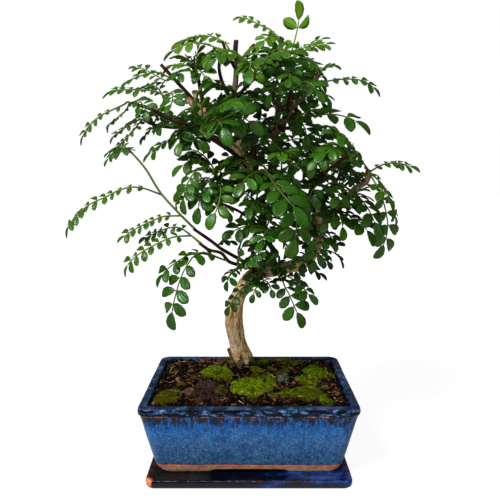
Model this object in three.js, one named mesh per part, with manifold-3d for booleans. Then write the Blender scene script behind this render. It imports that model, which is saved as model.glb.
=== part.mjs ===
// Japanese pepper tree bonsai in a glazed pot on its saucer. Millimetres, +Z up, the viewer at -Y.
// The origin is the centre of the saucer's underside.
import * as THREE from 'three';
import { mergeVertices } from 'three/addons/utils/BufferGeometryUtils.js';
import Module from 'manifold-3d';

const wasm = await Module();
wasm.setup();

// Driving dimensions.
const SEAT_GAP = 0.3;
const SAUCER = { width: 188, depth: 152, height: 8, floor: 4, lip: 5, corner: 8 };
const POT = { width: 200, depth: 150, height: 71, rim: 8.5, rimHeight: 8, rimStep: 1.5, wall: 7, base: 10 };
const POT_TAPER = 12;
const POT_EXTRA_SLOPE = 8;
const POT_CORNER = 9;
const FOOT = { height: 3.5, innerX: 37, innerY: 20, slope: 6 };
const DRAIN = { spacing: 84, radius: 7, mesh: 26, meshThickness: 1.2, holes: 3, bar: 1.6 };
const SOIL_EDGE_BELOW_RIM = 3;
const MOUND = { x: -6, y: 34, height: 9, spread: 46 };
const LEAF = { breadth: 0.7, angle: 64, widest: 0.55, low: 0.5, tipShift: 0.2, droop: 0.1, endScale: 1.05,
  lowScale: 0.75 };
const RIB = { half: 0.7, depth: 0.7, bare: 0.24 };
const FACING = { outward: 0.5, front: 0.45 };
const ARCH = { steps: 4, spread: 62, turnStep: 23, turnJitter: 30, riseRange: 45, droop: 60, droopRange: 45 };
const FROND = { seat: 0.4, seatRange: 0.55, length: 3.3, lengthRange: 1.3, size: 0.9, sizeRange: 0.3,
  pairs: 4, pairsRange: 2.2, roll: 50 };
const BARK = { trunkSwell: 0.05, limbSwell: 0.03, flare: 1.6, flareEnd: 0.22, trunkSteps: 12 };
const STEM_RADIUS = 1.1;
const SEATS = { clear: 3, share: 0.5, spacing: 1.6 };
const THREE_PAIR_LENGTH = 48;
const FOUR_PAIR_LENGTH = 70;
const CROWN_AXIS = [15, 10];
const CROWN_REACH = [175, 118];
const VIEW_POINT = [1, -549, 278];
const OUTLINE_PLANE = 10;
const CLEAR_OF_LEAVES = 4.6;
const CLEAR_OF_WOOD = 3;
const CLEAR_IN_SPRAY = 2.2;
const PETIOLE_SHARE = 0.3;
const RIBBON_STEP = 4;
const TRIES = 40;
const MOSS_SEED = 31;
const CORNER_STEPS = 3;
const CELL = 13;

const RIM_TOP = SAUCER.floor + POT.height;
const POT_FLOOR = SAUCER.floor + POT.base;
const UP = new THREE.Vector3(0, 0, 1);
const FRONT = new THREE.Vector3(0, -1, 0);

// The wood: each limb's centreline, its radius at both ends and its number of sides.
const WOOD = {
  trunk: { from: 10.5, to: 5.4, sides: 9, path: [[-5, 37, 62], [-6, 37, 80], [-11, 35, 97], [-16, 30, 123],
    [-15, 27, 140], [-12, 24, 153], [-5, 22, 166], [3, 20, 176], [13, 18, 182], [27, 16, 184], [42, 15, 188],
    [55, 14, 193], [68, 12, 207]] },
  leader: { from: 5.4, to: 3.3, sides: 7, path: [[66, 12, 204], [71, 11, 226], [68, 10, 242], [59, 12, 255],
    [43, 12, 265], [23, 10, 271], [7, 6, 278], [-3, 2, 290], [-13, -2, 305], [-29, -6, 321],
      [-46, -10, 341]] },
  leaderLeftStub: { from: 3.3, to: 2.8, sides: 6, path: [[-43, -9, 338], [-51, -12, 344], [-57, -14, 350]] },
  leaderRightStub: { from: 2.6, to: 2.1, sides: 6, path: [[-44, -9, 339], [-49, -9, 347], [-50, -8, 356]] },
  mast: { from: 3.6, to: 2.2, sides: 7, path: [[-3, 2, 290], [-10, 6, 314], [-16, 6, 344], [-13, 4, 367],
    [-12, 2, 383], [-13, 0, 395], [-12, 0, 405]] },
  mastStub: { from: 1.7, to: 1.3, sides: 5, path: [[-12, 2, 380], [-20, 0, 391], [-25, -2, 404]] },
  topRight: { from: 3.2, to: 2, sides: 6, path: [[23, 10, 271], [25, 8, 297], [26, 4, 322], [33, 0, 332],
    [44, -4, 346], [55, -8, 358], [66, -10, 374]] },
  topLimb: { from: 3.2, to: 1.5, sides: 6, path: [[26, 4, 320], [28, 10, 338], [29, 12, 355], [37, 10, 375],
    [33, 8, 392], [29, 8, 407]] },
  redTwig: { from: 1.9, to: 1.6, sides: 5, path: [[29, 2, 326], [38, -6, 324], [42, -14, 332],
    [43, -18, 342]] },
  frontStub: { from: 2.6, to: 2.3, sides: 6, path: [[7, 6, 278], [6, -10, 290], [5, -22, 296],
    [3, -30, 309]] },
  rightLimb: { from: 3.8, to: 2.6, sides: 6, path: [[70, 10, 228], [85, 4, 245], [95, 0, 257], [101, -4, 266],
    [112, -6, 274], [114, -6, 285]] },
  rightTwig: { from: 1.7, to: 1.4, sides: 5, path: [[95, 0, 257], [90, -6, 264], [86, -10, 272]] },
  midStub: { from: 2.6, to: 1.9, sides: 6, path: [[59, 12, 255], [62, 6, 270], [63, 2, 287], [63, 0, 311]] },
  midStubSide: { from: 1.5, to: 1.3, sides: 5, path: [[63, 2, 287], [66, -2, 295], [69, -4, 305]] },
  lowTwigUpper: { from: 2, to: 1.4, sides: 5, path: [[9, 17, 181], [-6, 4, 195], [-17, -6, 203],
    [-27, -14, 210], [-36, -19, 218], [-52, -24, 230]] },
  lowTwigUnder: { from: 2, to: 1.4, sides: 5, path: [[14, 16, 181], [-1, 2, 190], [-18, -16, 197],
    [-26, -24, 207], [-37, -30, 211], [-46, -34, 218]] },
  innerTwig: { from: 2.2, to: 1.2, sides: 5, path: [[28, 15, 184], [22, 8, 211], [18, 4, 221],
    [14, 0, 244]] },
  leftLimb: { from: 2.6, to: 1.5, sides: 6, path: [[-29, -6, 321], [-51, -10, 324], [-70, -12, 330],
    [-92, -14, 341], [-107, -14, 345]] },
  leftTwig: { from: 1.8, to: 1.3, sides: 5, path: [[-56, -10, 325], [-74, 0, 325], [-92, 4, 328],
    [-101, 6, 332]] },
  leftStubHigh: { from: 2, to: 1.6, sides: 5, path: [[-44, -9, 339], [-57, -2, 355], [-68, 0, 367],
    [-83, 0, 383]] },
  leftStubBack: { from: 2, to: 1.6, sides: 5, path: [[-40, -8, 334], [-46, 10, 357], [-51, 14, 378],
    [-59, 16, 388]] },
  mastSideStub: { from: 1.9, to: 1.5, sides: 5, path: [[-16, 6, 352], [-24, 14, 364], [-29, 16, 381],
    [-28, 18, 394]] },
  tanStub: { from: 2.8, to: 2.4, sides: 6, path: [[7, 6, 278], [-9, 0, 274], [-20, -6, 273],
    [-32, -10, 277]] },
  frontLimb: { from: 2.6, to: 1.5, sides: 6, path: [[43, 12, 265], [28, -15, 277], [14, -50, 284]] },
  frontLeftLimb: { from: 2.2, to: 1.3, sides: 5, path: [[-5, 1, 293], [-15, -25, 300], [-28, -52, 308],
    [-36, -70, 312]] },
  frontRightLimb: { from: 2.2, to: 1.3, sides: 5, path: [[62, 6, 270], [70, -22, 282], [80, -48, 292],
    [86, -62, 296]] },
  frontTopLimb: { from: 2, to: 1.2, sides: 5, path: [[-16, 6, 346], [-6, -20, 356], [6, -42, 364]] },
  frontHighLimb: { from: 1.9, to: 1.2, sides: 5, path: [[34, 0, 334], [36, -24, 346], [38, -46, 354]] },
  backLimb: { from: 2.8, to: 1.3, sides: 6, path: [[23, 10, 271], [25, 40, 290], [22, 70, 310],
    [18, 92, 322]] },
  backLeftLimb: { from: 2.6, to: 1.3, sides: 6, path: [[-13, -2, 305], [-35, 30, 318], [-58, 56, 328],
    [-76, 74, 334]] },
  backRightLimb: { from: 2.8, to: 1.3, sides: 6, path: [[68, 10, 242], [82, 38, 262], [98, 60, 280],
    [112, 72, 290]] },
  backTopLimb: { from: 2.2, to: 1.2, sides: 5, path: [[28, 10, 338], [30, 38, 358], [34, 60, 376]] },
  backLowLimb: { from: 2.2, to: 1.2, sides: 5, path: [[71, 11, 226], [60, 40, 236], [46, 66, 242],
    [34, 84, 240]] },
  backLowLeftLimb: { from: 1.8, to: 1.2, sides: 5, path: [[18, 4, 221], [-5, 25, 240], [-28, 42, 250],
    [-48, 54, 255]] },
  deadStub: { from: 3, to: 2, sides: 5, path: [[-10, 37, 76], [-18, 36, 86], [-22, 36, 96]] },
  rootRight: { from: 5, to: 1.6, sides: 6, path: [[-8, 36, 88], [5, 31, 82], [16, 26, 72]] },
  rootFront: { from: 5, to: 2, sides: 6, path: [[-8, 36, 86], [-10, 22, 80], [-12, 12, 70]] },
  rootLeft: { from: 5, to: 2, sides: 6, path: [[-7, 37, 85], [-20, 33, 80], [-31, 28, 70]] },
};

// The sprays seen from the front: a stem out of the wood, then each frond's rib from the stem to its tip.
const SPRAYS = [
  { name: 'left_tip', stem: [[-104, -14, 344], [-112, -15, 347]], fronds: [
    { pairs: 6, size: 10, path: [[-111, -15, 347], [-116, -16, 344], [-124, -18, 340], [-134, -20, 335],
      [-143, -22, 328], [-150, -24, 319], [-155, -25, 307]] },
    { pairs: 5, size: 9, path: [[-111, -15, 347], [-117, -3, 340], [-127, 4, 334], [-135, 8, 329],
      [-141, 10, 322]] },
    { pairs: 5, size: 11, path: [[-111, -15, 347], [-99, -30, 346], [-91, -44, 337], [-89, -52, 326]] },
  ] },
  { name: 'left_upper', stem: [[-83, -13, 336], [-80, -16, 344], [-77, -16, 353]], fronds: [
    { pairs: 6, size: 11, path: [[-77, -16, 352], [-86, -18, 356], [-105, -20, 357], [-123, -22, 356],
      [-134, -23, 350]] },
    { pairs: 5, size: 12, path: [[-77, -17, 352], [-69, -32, 352], [-67, -46, 343], [-72, -54, 331]] },
    { pairs: 6, size: 11, path: [[-77, -14, 351], [-87, 0, 362], [-100, 14, 366], [-114, 24, 362]] },
  ] },
  { name: 'left_stub', stem: [[-68, 0, 367], [-72, -8, 369]], fronds: [
    { pairs: 5, size: 10, path: [[-72, -6, 371], [-84, -10, 374], [-93, -11, 373], [-104, -14, 369],
      [-113, -16, 364], [-118, -17, 358]] },
    { pairs: 6, size: 9, path: [[-72, -6, 371], [-80, 2, 369], [-95, 12, 378], [-106, 16, 383],
      [-118, 18, 382]] },
    { pairs: 4, size: 11, path: [[-72, -7, 370], [-66, -18, 373], [-62, -28, 370], [-61, -37, 361]] },
  ] },
  { name: 'mast_left', stem: [[-13, 0, 393], [-19, 0, 396]], fronds: [
    { pairs: 5, size: 14, path: [[-17, 0, 395], [-30, -6, 397], [-43, -10, 400], [-54, -14, 399],
      [-67, -17, 393],
      [-78, -19, 384]] },
    { pairs: 6, size: 13, path: [[-17, 0, 395], [-23, 6, 404], [-35, 10, 411], [-50, 13, 412], [-64, 15, 408],
      [-75, 16, 400]] },
    { pairs: 4, size: 12, path: [[-18, 0, 395], [-25, -16, 392], [-33, -28, 384], [-40, -34, 373]] },
  ] },
  { name: 'left_rise', stem: [[-51, 14, 378], [-51, 12, 383]], fronds: [
    { pairs: 3, size: 13, path: [[-51, 12, 382], [-50, 8, 391], [-48, 2, 400], [-50, -6, 405]] },
    { pairs: 4, size: 12, path: [[-51, 12, 381], [-62, 24, 387], [-75, 33, 389], [-88, 39, 383]] },
    { pairs: 5, size: 12, path: [[-51, 12, 381], [-46, 28, 390], [-42, 42, 394], [-43, 56, 389]] },
    { pairs: 3, size: 13, path: [[-51, 11, 383], [-58, 4, 389], [-65, 0, 390], [-73, -4, 385]] },
    { pairs: 4, size: 13, path: [[-51, 10, 382], [-45, -4, 376], [-40, -10, 369], [-36, -14, 361]] },
    { pairs: 3, size: 12, path: [[-51, 11, 383], [-44, 4, 389], [-38, 0, 393], [-31, -4, 396]] },
  ] },
  { name: 'left_twig', stem: [[-97, 5, 331], [-106, 8, 334]], fronds: [
    { pairs: 4, size: 9, path: [[-105, 8, 334], [-110, 5, 331], [-117, 2, 326], [-127, 0, 319],
      [-135, -1, 311]] },
    { pairs: 7, size: 9, path: [[-104, 7, 333], [-105, -3, 328], [-109, -8, 321], [-116, -9, 314],
      [-124, -9, 306],
      [-133, -9, 294]] },
    { pairs: 4, size: 10, path: [[-105, 8, 334], [-111, 20, 336], [-120, 30, 332], [-132, 37, 323]] },
  ] },
  { name: 'left_hang', stem: [[-59, -11, 326], [-62, -16, 324]], fronds: [
    { pairs: 4, size: 14, path: [[-62, -15, 324], [-63, -28, 319], [-62, -37, 309], [-63, -41, 295]] },
    { pairs: 5, size: 12, path: [[-62, -14, 323], [-72, -14, 313], [-85, -16, 306], [-100, -18, 293]] },
    { pairs: 3, size: 14, path: [[-62, -15, 324], [-70, -26, 326], [-77, -36, 322], [-82, -42, 312]] },
    { pairs: 4, size: 15, path: [[-62, -15, 325], [-52, -26, 316], [-45, -31, 309], [-39, -34, 299]] },
    { pairs: 4, size: 14, path: [[-62, -15, 323], [-57, -10, 316], [-48, -2, 314], [-41, 4, 305]] },
  ] },
  { name: 'long_shoot', stem: [[-50, -23, 229], [-64, -28, 244], [-81, -32, 264], [-93, -36, 285],
    [-106, -38, 301]],
    fronds: [
      { pairs: 10, size: 11, path: [[-80, -32, 262], [-96, -34, 268], [-106, -36, 269], [-118, -38, 266],
        [-129, -40, 260], [-141, -42, 255], [-150, -44, 248], [-159, -46, 238], [-167, -48, 225]] },
      { pairs: 7, size: 10, path: [[-63, -28, 242], [-79, -31, 242], [-89, -33, 238], [-100, -35, 233],
        [-110, -37, 227], [-120, -38, 218]] },
      { pairs: 4, size: 8, path: [[-105, -38, 300], [-114, -41, 301], [-122, -43, 298], [-128, -44, 287]] },
      { pairs: 4, size: 8, path: [[-105, -38, 300], [-106, -47, 303], [-109, -56, 301], [-114, -63, 293]] },
      { pairs: 5, size: 8, path: [[-105, -37, 300], [-115, -27, 306], [-126, -18, 304], [-136, -12, 297]] },
      { pairs: 3, size: 9, path: [[-67, -29, 248], [-67, -31, 255], [-63, -33, 263], [-56, -35, 267]] },
    ] },
  { name: 'low_left', stem: [[-44, -33, 217], [-54, -37, 226]], fronds: [
    { pairs: 6, size: 10, path: [[-53, -37, 226], [-64, -34, 232], [-76, -32, 231], [-90, -30, 225],
      [-103, -29, 217]] },
    { pairs: 7, size: 11, path: [[-52, -37, 225], [-63, -43, 225], [-70, -46, 224], [-80, -49, 220],
      [-95, -52, 212],
      [-104, -54, 205], [-109, -55, 198], [-111, -56, 190]] },
  ] },
  { name: 'front_low_left', stem: [[-20, -18, 199], [-26, -28, 202]], fronds: [
    { pairs: 6, size: 17, path: [[-25, -27, 202], [-40, -42, 210], [-48, -50, 209], [-54, -55, 202],
      [-59, -58, 193],
      [-63, -61, 181], [-67, -63, 165], [-70, -64, 143]] },
    { pairs: 5, size: 13, path: [[-25, -26, 202], [-36, -32, 206], [-50, -37, 209], [-63, -41, 203],
      [-76, -44, 193],
      [-84, -46, 179]] },
  ] },
  { name: 'low_twig_leaves', stem: [[-6, -3, 192], [-12, -15, 190]], fronds: [
    { pairs: 3, size: 10, path: [[-11, -14, 190], [-17, -22, 188], [-20, -25, 181], [-22, -27, 171]] },
    { pairs: 4, size: 10, path: [[-11, -14, 190], [-3, -28, 201], [3, -38, 201], [5, -43, 194]] },
    { pairs: 4, size: 11, path: [[-12, -14, 191], [-10, -26, 205], [-6, -33, 214], [1, -38, 218]] },
    { pairs: 4, size: 11, path: [[-12, -14, 190], [-4, -28, 199], [4, -36, 204], [12, -41, 201]] },
  ] },
  { name: 'trunk_front', stem: [[13, 18, 183], [11, 4, 182], [8, -4, 179]], fronds: [
    { pairs: 5, size: 10, path: [[9, -2, 179], [-3, -13, 174], [-13, -18, 164], [-24, -21, 146]] },
    { pairs: 4, size: 9, path: [[9, -2, 179], [9, -16, 177], [5, -24, 170], [2, -28, 160]] },
    { pairs: 4, size: 9, path: [[9, -2, 179], [17, -14, 178], [21, -20, 172], [22, -23, 163]] },
    { pairs: 4, size: 11, path: [[9, -5, 181], [14, -20, 194], [21, -28, 202], [28, -32, 204]] },
    { pairs: 4, size: 12, path: [[8, -4, 180], [8, -14, 194], [9, -20, 207], [13, -24, 219]] },
  ] },
  { name: 'low_right', stem: [[32, 16, 185], [32, 4, 182]], fronds: [
    { pairs: 4, size: 16, path: [[32, 5, 182], [34, -8, 174], [38, -16, 167], [43, -21, 156],
      [52, -24, 135]] },
    { pairs: 4, size: 13, path: [[32, 5, 183], [41, -6, 180], [51, -12, 173], [57, -16, 166],
      [64, -18, 155]] },
    { pairs: 4, size: 13, path: [[32, 2, 184], [41, -10, 194], [49, -16, 198], [58, -20, 194]] },
    { pairs: 4, size: 12, path: [[32, 4, 183], [26, -4, 198], [21, -8, 208], [16, -10, 218]] },
  ] },
  { name: 'front_centre', stem: [[15, -47, 283], [15, -58, 283]], fronds: [
    { pairs: 4, size: 20, path: [[14, -55, 283], [22, -82, 271], [30, -94, 261], [38, -101, 251],
      [45, -105, 238]] },
    { pairs: 4, size: 18, path: [[14, -56, 283], [29, -66, 269], [38, -73, 254], [40, -77, 237],
      [36, -80, 209]] },
    { pairs: 3, size: 15, path: [[14, -54, 283], [3, -72, 281], [-5, -84, 273], [-9, -90, 261]] },
  ] },
  { name: 'right_hang', stem: [[71, 9, 228], [69, -2, 226]], fronds: [
    { pairs: 5, size: 12, path: [[70, 0, 227], [68, -16, 222], [65, -24, 212], [62, -27, 203],
      [59, -29, 189]] },
    { pairs: 3, size: 11, path: [[70, 0, 226], [76, -10, 224], [80, -16, 217], [81, -19, 207]] },
  ] },
  { name: 'right_low', stem: [[87, 3, 248], [87, -4, 246]], fronds: [
    { pairs: 4, size: 16, path: [[88, -2, 246], [95, -19, 242], [104, -31, 235], [117, -39, 217]] },
    { pairs: 4, size: 13, path: [[87, -3, 246], [86, -20, 241], [87, -29, 231], [88, -33, 220]] },
    { pairs: 4, size: 13, path: [[86, -5, 247], [78, -18, 243], [72, -26, 236], [69, -31, 226]] },
    { pairs: 4, size: 14, path: [[86, -4, 247], [90, -22, 253], [95, -30, 252], [101, -36, 245]] },
  ] },
  { name: 'right_front', stem: [[101, -4, 266], [100, -14, 263]], fronds: [
    { pairs: 4, size: 17, path: [[100, -13, 263], [104, -27, 257], [108, -36, 250], [112, -42, 240],
      [117, -47, 222]] },
    { pairs: 4, size: 14, path: [[100, -12, 263], [89, -32, 266], [80, -45, 261], [75, -52, 249]] },
    { pairs: 4, size: 14, path: [[100, -12, 263], [110, -32, 269], [120, -43, 265], [128, -52, 250]] },
  ] },
  { name: 'right_tip', stem: [[113, -6, 279], [116, -8, 284]], fronds: [
    { pairs: 5, size: 11, path: [[116, -7, 283], [125, -8, 289], [134, -9, 291], [142, -10, 291],
      [151, -11, 288],
      [161, -12, 282]] },
    { pairs: 6, size: 10, path: [[116, -8, 283], [107, -15, 291], [100, -24, 297], [89, -31, 299],
      [77, -34, 297],
      [67, -35, 292]] },
    { pairs: 5, size: 12, path: [[116, -7, 282], [128, -3, 271], [139, 0, 252], [146, 2, 228]] },
    { pairs: 5, size: 16, path: [[116, -8, 282], [121, -17, 268], [127, -20, 251], [130, -22, 228],
      [121, -24, 200]] },
  ] },
  { name: 'top_right', stem: [[57, -8, 361], [60, -9, 361]], fronds: [
    { pairs: 6, size: 11, path: [[59, -9, 361], [66, -11, 363], [74, -13, 366], [87, -16, 367],
      [101, -18, 366],
      [111, -19, 361], [122, -20, 353]] },
    { pairs: 4, size: 10, path: [[59, -9, 361], [63, -22, 354], [69, -32, 350], [73, -38, 340]] },
  ] },
  { name: 'top_right_tuft', stem: [[64, -10, 372], [67, -11, 375]], fronds: [
    { pairs: 3, size: 9, path: [[66, -11, 374], [71, -14, 379], [78, -16, 379], [84, -17, 375]] },
    { pairs: 3, size: 11, path: [[66, -11, 374], [60, -20, 379], [52, -28, 380], [44, -33, 376]] },
    { pairs: 4, size: 11, path: [[67, -9, 375], [61, 4, 387], [54, 12, 392], [46, 18, 392]] },
  ] },
  { name: 'right_mid', stem: [[42, -14, 332], [46, -17, 333]], fronds: [
    { pairs: 3, size: 18, path: [[45, -17, 333], [58, -25, 333], [74, -31, 334], [90, -35, 330],
      [110, -38, 318]] },
    { pairs: 4, size: 13, path: [[46, -16, 333], [55, -11, 339], [66, -7, 341], [78, -4, 336]] },
    { pairs: 4, size: 15, path: [[45, -17, 333], [48, -32, 326], [51, -42, 314], [50, -47, 302]] },
  ] },
  { name: 'mid_right', stem: [[63, 0, 304], [64, -3, 308]], fronds: [
    { pairs: 5, size: 14, path: [[63, -2, 307], [70, -6, 316], [81, -8, 319], [92, -6, 312], [101, -2, 303],
      [108, 2, 291]] },
    { pairs: 4, size: 14, path: [[63, -3, 306], [59, -20, 310], [58, -32, 306], [59, -40, 295]] },
    { pairs: 4, size: 14, path: [[64, -4, 308], [55, -16, 314], [47, -24, 316], [39, -30, 312]] },
    { pairs: 4, size: 14, path: [[64, -2, 308], [71, 10, 320], [81, 18, 325], [92, 23, 321]] },
    { pairs: 4, size: 15, path: [[64, -3, 306], [54, -14, 300], [45, -20, 291], [38, -22, 279]] },
    { pairs: 4, size: 14, path: [[64, -3, 306], [65, -16, 298], [60, -26, 288], [52, -31, 277]] },
  ] },
  { name: 'crown_left', stem: [[29, 8, 404], [28, 7, 410]], fronds: [
    { pairs: 5, size: 9, path: [[28, 7, 409], [20, 6, 416], [12, 4, 419], [3, 3, 423], [-6, 2, 426],
      [-15, 1, 424]] },
    { pairs: 4, size: 10, path: [[28, 6, 408], [22, -8, 407], [15, -18, 402], [8, -24, 393]] },
    { pairs: 4, size: 10, path: [[28, 8, 408], [27, 20, 414], [26, 33, 413], [25, 42, 405]] },
  ] },
  { name: 'crown_shoot', stem: [[37, 10, 379], [38, 10, 390]], fronds: [
    { pairs: 2, size: 17, roll: 90, path: [[38, 10, 389], [42, 9, 402], [45, 8, 414], [47, 8, 428],
      [44, 7, 442]] },
    { pairs: 5, size: 9, path: [[38, 10, 388], [47, 6, 397], [59, 4, 402], [67, 2, 406], [76, 1, 409]] },
    { pairs: 6, size: 10, path: [[38, 11, 388], [50, 18, 398], [66, 23, 405], [85, 26, 408]] },
  ] },
  { name: 'mast_right', stem: [[-12, 1, 386], [-6, 0, 390]], fronds: [
    { pairs: 4, size: 12, path: [[-6, 0, 390], [0, -8, 395], [8, -13, 396], [20, -16, 389]] },
    { pairs: 4, size: 12, path: [[-6, 0, 390], [-1, 14, 395], [9, 23, 397], [20, 29, 392]] },
    { pairs: 4, size: 13, path: [[-6, -1, 390], [1, -16, 379], [7, -23, 371], [14, -27, 362]] },
  ] },
  { name: 'mast_mid', stem: [[-15, 6, 356], [-14, 0, 358]], fronds: [
    { pairs: 3, size: 12, path: [[-14, 0, 358], [-25, -1, 363], [-35, 0, 366], [-45, 2, 364]] },
    { pairs: 4, size: 13, path: [[-14, 1, 357], [-5, -8, 366], [5, -15, 367], [15, -19, 361]] },
    { pairs: 4, size: 13, path: [[-14, 1, 357], [-24, -14, 361], [-32, -24, 362], [-40, -30, 355]] },
    { pairs: 4, size: 14, path: [[-14, 0, 357], [-12, -20, 350], [-10, -34, 340], [-10, -41, 327]] },
    { pairs: 4, size: 14, path: [[-14, 0, 357], [-6, -8, 353], [1, -17, 346], [9, -27, 337]] },
    { pairs: 4, size: 14, path: [[-14, 1, 358], [-22, -12, 349], [-31, -18, 342], [-40, -22, 336]] },
    { pairs: 4, size: 16, path: [[-14, 0, 357], [-20, -26, 345], [-23, -44, 330], [-24, -52, 312]] },
  ] },
  { name: 'tan_stub', stem: [[-24, -8, 274], [-31, -20, 279]], fronds: [
    { pairs: 6, size: 14, path: [[-31, -19, 280], [-39, -30, 286], [-48, -38, 283], [-55, -43, 272],
      [-58, -46, 260], [-59, -48, 245]] },
    { pairs: 5, size: 15, path: [[-31, -19, 279], [-37, -32, 274], [-42, -40, 265], [-45, -44, 252],
      [-44, -46, 236]] },
    { pairs: 4, size: 16, path: [[-31, -19, 279], [-26, -34, 269], [-26, -42, 259], [-30, -48, 246],
      [-36, -52, 232]] },
    { pairs: 5, size: 14, path: [[-31, -18, 280], [-41, -22, 291], [-51, -24, 294], [-61, -26, 288],
      [-68, -27, 277]] },
    { pairs: 5, size: 14, path: [[-31, -17, 280], [-39, -8, 294], [-49, -4, 302], [-59, -2, 304],
      [-67, 0, 300]] },
    { pairs: 4, size: 15, path: [[-31, -18, 278], [-25, -14, 268], [-19, -8, 260], [-17, -4, 247]] },
    { pairs: 4, size: 14, path: [[-31, -18, 279], [-41, -10, 274], [-49, 0, 268], [-56, 7, 256]] },
    { pairs: 3, size: 16, path: [[-31, -20, 280], [-26, -32, 287], [-22, -42, 290], [-15, -48, 286]] },
    { pairs: 4, size: 15, path: [[-31, -20, 279], [-22, -25, 283], [-14, -29, 280], [-8, -31, 272]] },
  ] },
];

// The sprays that fill the crown: the limb and how far along it the stem leaves, the stem's heading and rise
// in degrees (0 is +X, 90 is to the back), its length, its number of fronds and their leaflets' length.
const FILL = [
  { name: 'fill_front_1', limb: 'frontLimb', along: 0.6, heading: -40, rise: 30,
    length: 20, fronds: 7, size: 16 },
  { name: 'fill_front_2', limb: 'frontLeftLimb', along: 0.7, heading: 180, rise: 35,
    length: 20, fronds: 7, size: 16 },
  { name: 'fill_front_3', limb: 'innerTwig', along: 0.7, heading: -60, rise: -10,
    length: 20, fronds: 7, size: 15 },
  { name: 'fill_front_4', limb: 'frontRightLimb', along: 0.97, heading: -70, rise: 10,
    length: 16, fronds: 6, size: 12 },
  { name: 'fill_front_5', limb: 'frontTopLimb', along: 0.96, heading: -90, rise: 20,
    length: 16, fronds: 7, size: 15 },
  { name: 'fill_front_6', limb: 'frontHighLimb', along: 0.96, heading: -90, rise: 10,
    length: 16, fronds: 7, size: 12 },
  { name: 'fill_front_7', limb: 'innerTwig', along: 0.97, heading: -130, rise: 20,
    length: 18, fronds: 6, size: 13 },
  { name: 'fill_back_1', limb: 'backLimb', along: 0.97, heading: 90, rise: 10,
    length: 16, fronds: 6, size: 15 },
  { name: 'fill_back_2', limb: 'topRight', along: 0.3, heading: 90, rise: -10,
    length: 20, fronds: 6, size: 15 },
  { name: 'fill_back_3', limb: 'backLeftLimb', along: 0.97, heading: 135, rise: 10,
    length: 16, fronds: 6, size: 15 },
  { name: 'fill_back_4', limb: 'backLeftLimb', along: 0.5, heading: 60, rise: 40,
    length: 20, fronds: 6, size: 12 },
  { name: 'fill_back_5', limb: 'backRightLimb', along: 0.97, heading: 40, rise: 10,
    length: 16, fronds: 6, size: 12 },
  { name: 'fill_back_6', limb: 'backRightLimb', along: 0.45, heading: 10, rise: 30,
    length: 20, fronds: 6, size: 12 },
  { name: 'fill_back_7', limb: 'backTopLimb', along: 0.96, heading: 80, rise: 30,
    length: 16, fronds: 6, size: 14 },
  { name: 'fill_back_8', limb: 'backLowLimb', along: 0.97, heading: 110, rise: 0,
    length: 16, fronds: 6, size: 14 },
  { name: 'fill_back_9', limb: 'backLowLeftLimb', along: 0.97, heading: 150, rise: 0,
    length: 16, fronds: 5, size: 12 },
  { name: 'fill_inner_1', limb: 'topLimb', along: 0.5, heading: -20, rise: -10,
    length: 20, fronds: 7, size: 14 },
  { name: 'fill_inner_2', limb: 'midStub', along: 0.3, heading: -20, rise: -10,
    length: 20, fronds: 7, size: 14 },
];

// The crown's outline in the front view, in the plane y = OUTLINE_PLANE, as x and z.
const CROWN_OUTLINE = [[-96, 368], [-80, 383], [-59, 397], [-26, 407], [-9, 409], [9, 412], [26, 420],
  [41, 407],
  [60, 401], [74, 396], [70, 381], [88, 364], [79, 354], [87, 343], [102, 333], [95, 318], [105, 305],
    [117, 295],
  [125, 283], [141, 269], [152, 250], [149, 230], [135, 222], [117, 228], [89, 232], [81, 210], [69, 197],
  [51, 193], [21, 197], [-3, 204], [-23, 206], [-37, 216], [-49, 234], [-61, 252], [-58, 277], [-66, 295],
  [-84, 301], [-105, 305], [-119, 316], [-132, 326], [-133, 341], [-119, 356]];

// Moss cushions on the soil: centre, half length, half width, height and turn in degrees.
const MOSS = [
  { name: 'moss_front', x: 2, y: -22, a: 24, b: 19, height: 6, turn: 20 },
  { name: 'moss_left', x: -33, y: 10, a: 17, b: 12, height: 6, turn: -20 },
  { name: 'moss_corner', x: -77, y: -44, a: 12, b: 15, height: 4, turn: 0 },
  { name: 'moss_back_right', x: 40, y: 50, a: 19, b: 9, height: 4, turn: 0 },
  { name: 'moss_right', x: 68, y: 18, a: 14, b: 18, height: 5, turn: 10 },
  { name: 'moss_front_right', x: 50, y: -36, a: 20, b: 14, height: 5, turn: -10 },
];

// Stones on the soil: centre, half sizes and how far the middle stands above the soil.
const STONES = [
  { name: 'stone_grey', x: 34, y: -3, a: 6.5, b: 5.5, height: 5, lift: 1.5, seed: 3, color: 0x6f7468 },
  { name: 'stone_purple', x: -41, y: -20, a: 13, b: 10, height: 5, lift: 1, seed: 5, color: 0x4a3436 },
  { name: 'stone_brown', x: -56, y: -36, a: 6, b: 5, height: 4.5, lift: 1.5, seed: 8, color: 0x5a423c },
];

// A repeatable draw between 0 and 1 from a whole-number seed.
function seeded(seed) {
  let state = (Math.imul(seed, 2654435761) + 12345) >>> 0;
  return () => {
    state = (Math.imul(state, 1664525) + 1013904223) >>> 0;
    return state / 4294967296;
  };
}

const radians = (degrees) => degrees * Math.PI / 180;
const direction = (heading, rise) => new THREE.Vector3(
  Math.cos(radians(rise)) * Math.cos(radians(heading)),
  Math.cos(radians(rise)) * Math.sin(radians(heading)),
  Math.sin(radians(rise)),
);
const vector = (p) => new THREE.Vector3(p[0], p[1], p[2]);
const curveThrough = (points) => new THREE.CatmullRomCurve3(points, false, 'catmullrom', 0.5);

// A closed mesh as a solid that can be joined and cut.
function solid(positions, faces) {
  const geometry = new THREE.BufferGeometry();
  const flat = positions.flatMap((p) => [p.x, p.y, p.z]);
  geometry.setAttribute('position', new THREE.Float32BufferAttribute(flat, 3));
  geometry.setIndex(faces.flat());
  return solidOf(geometry);
}

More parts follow.
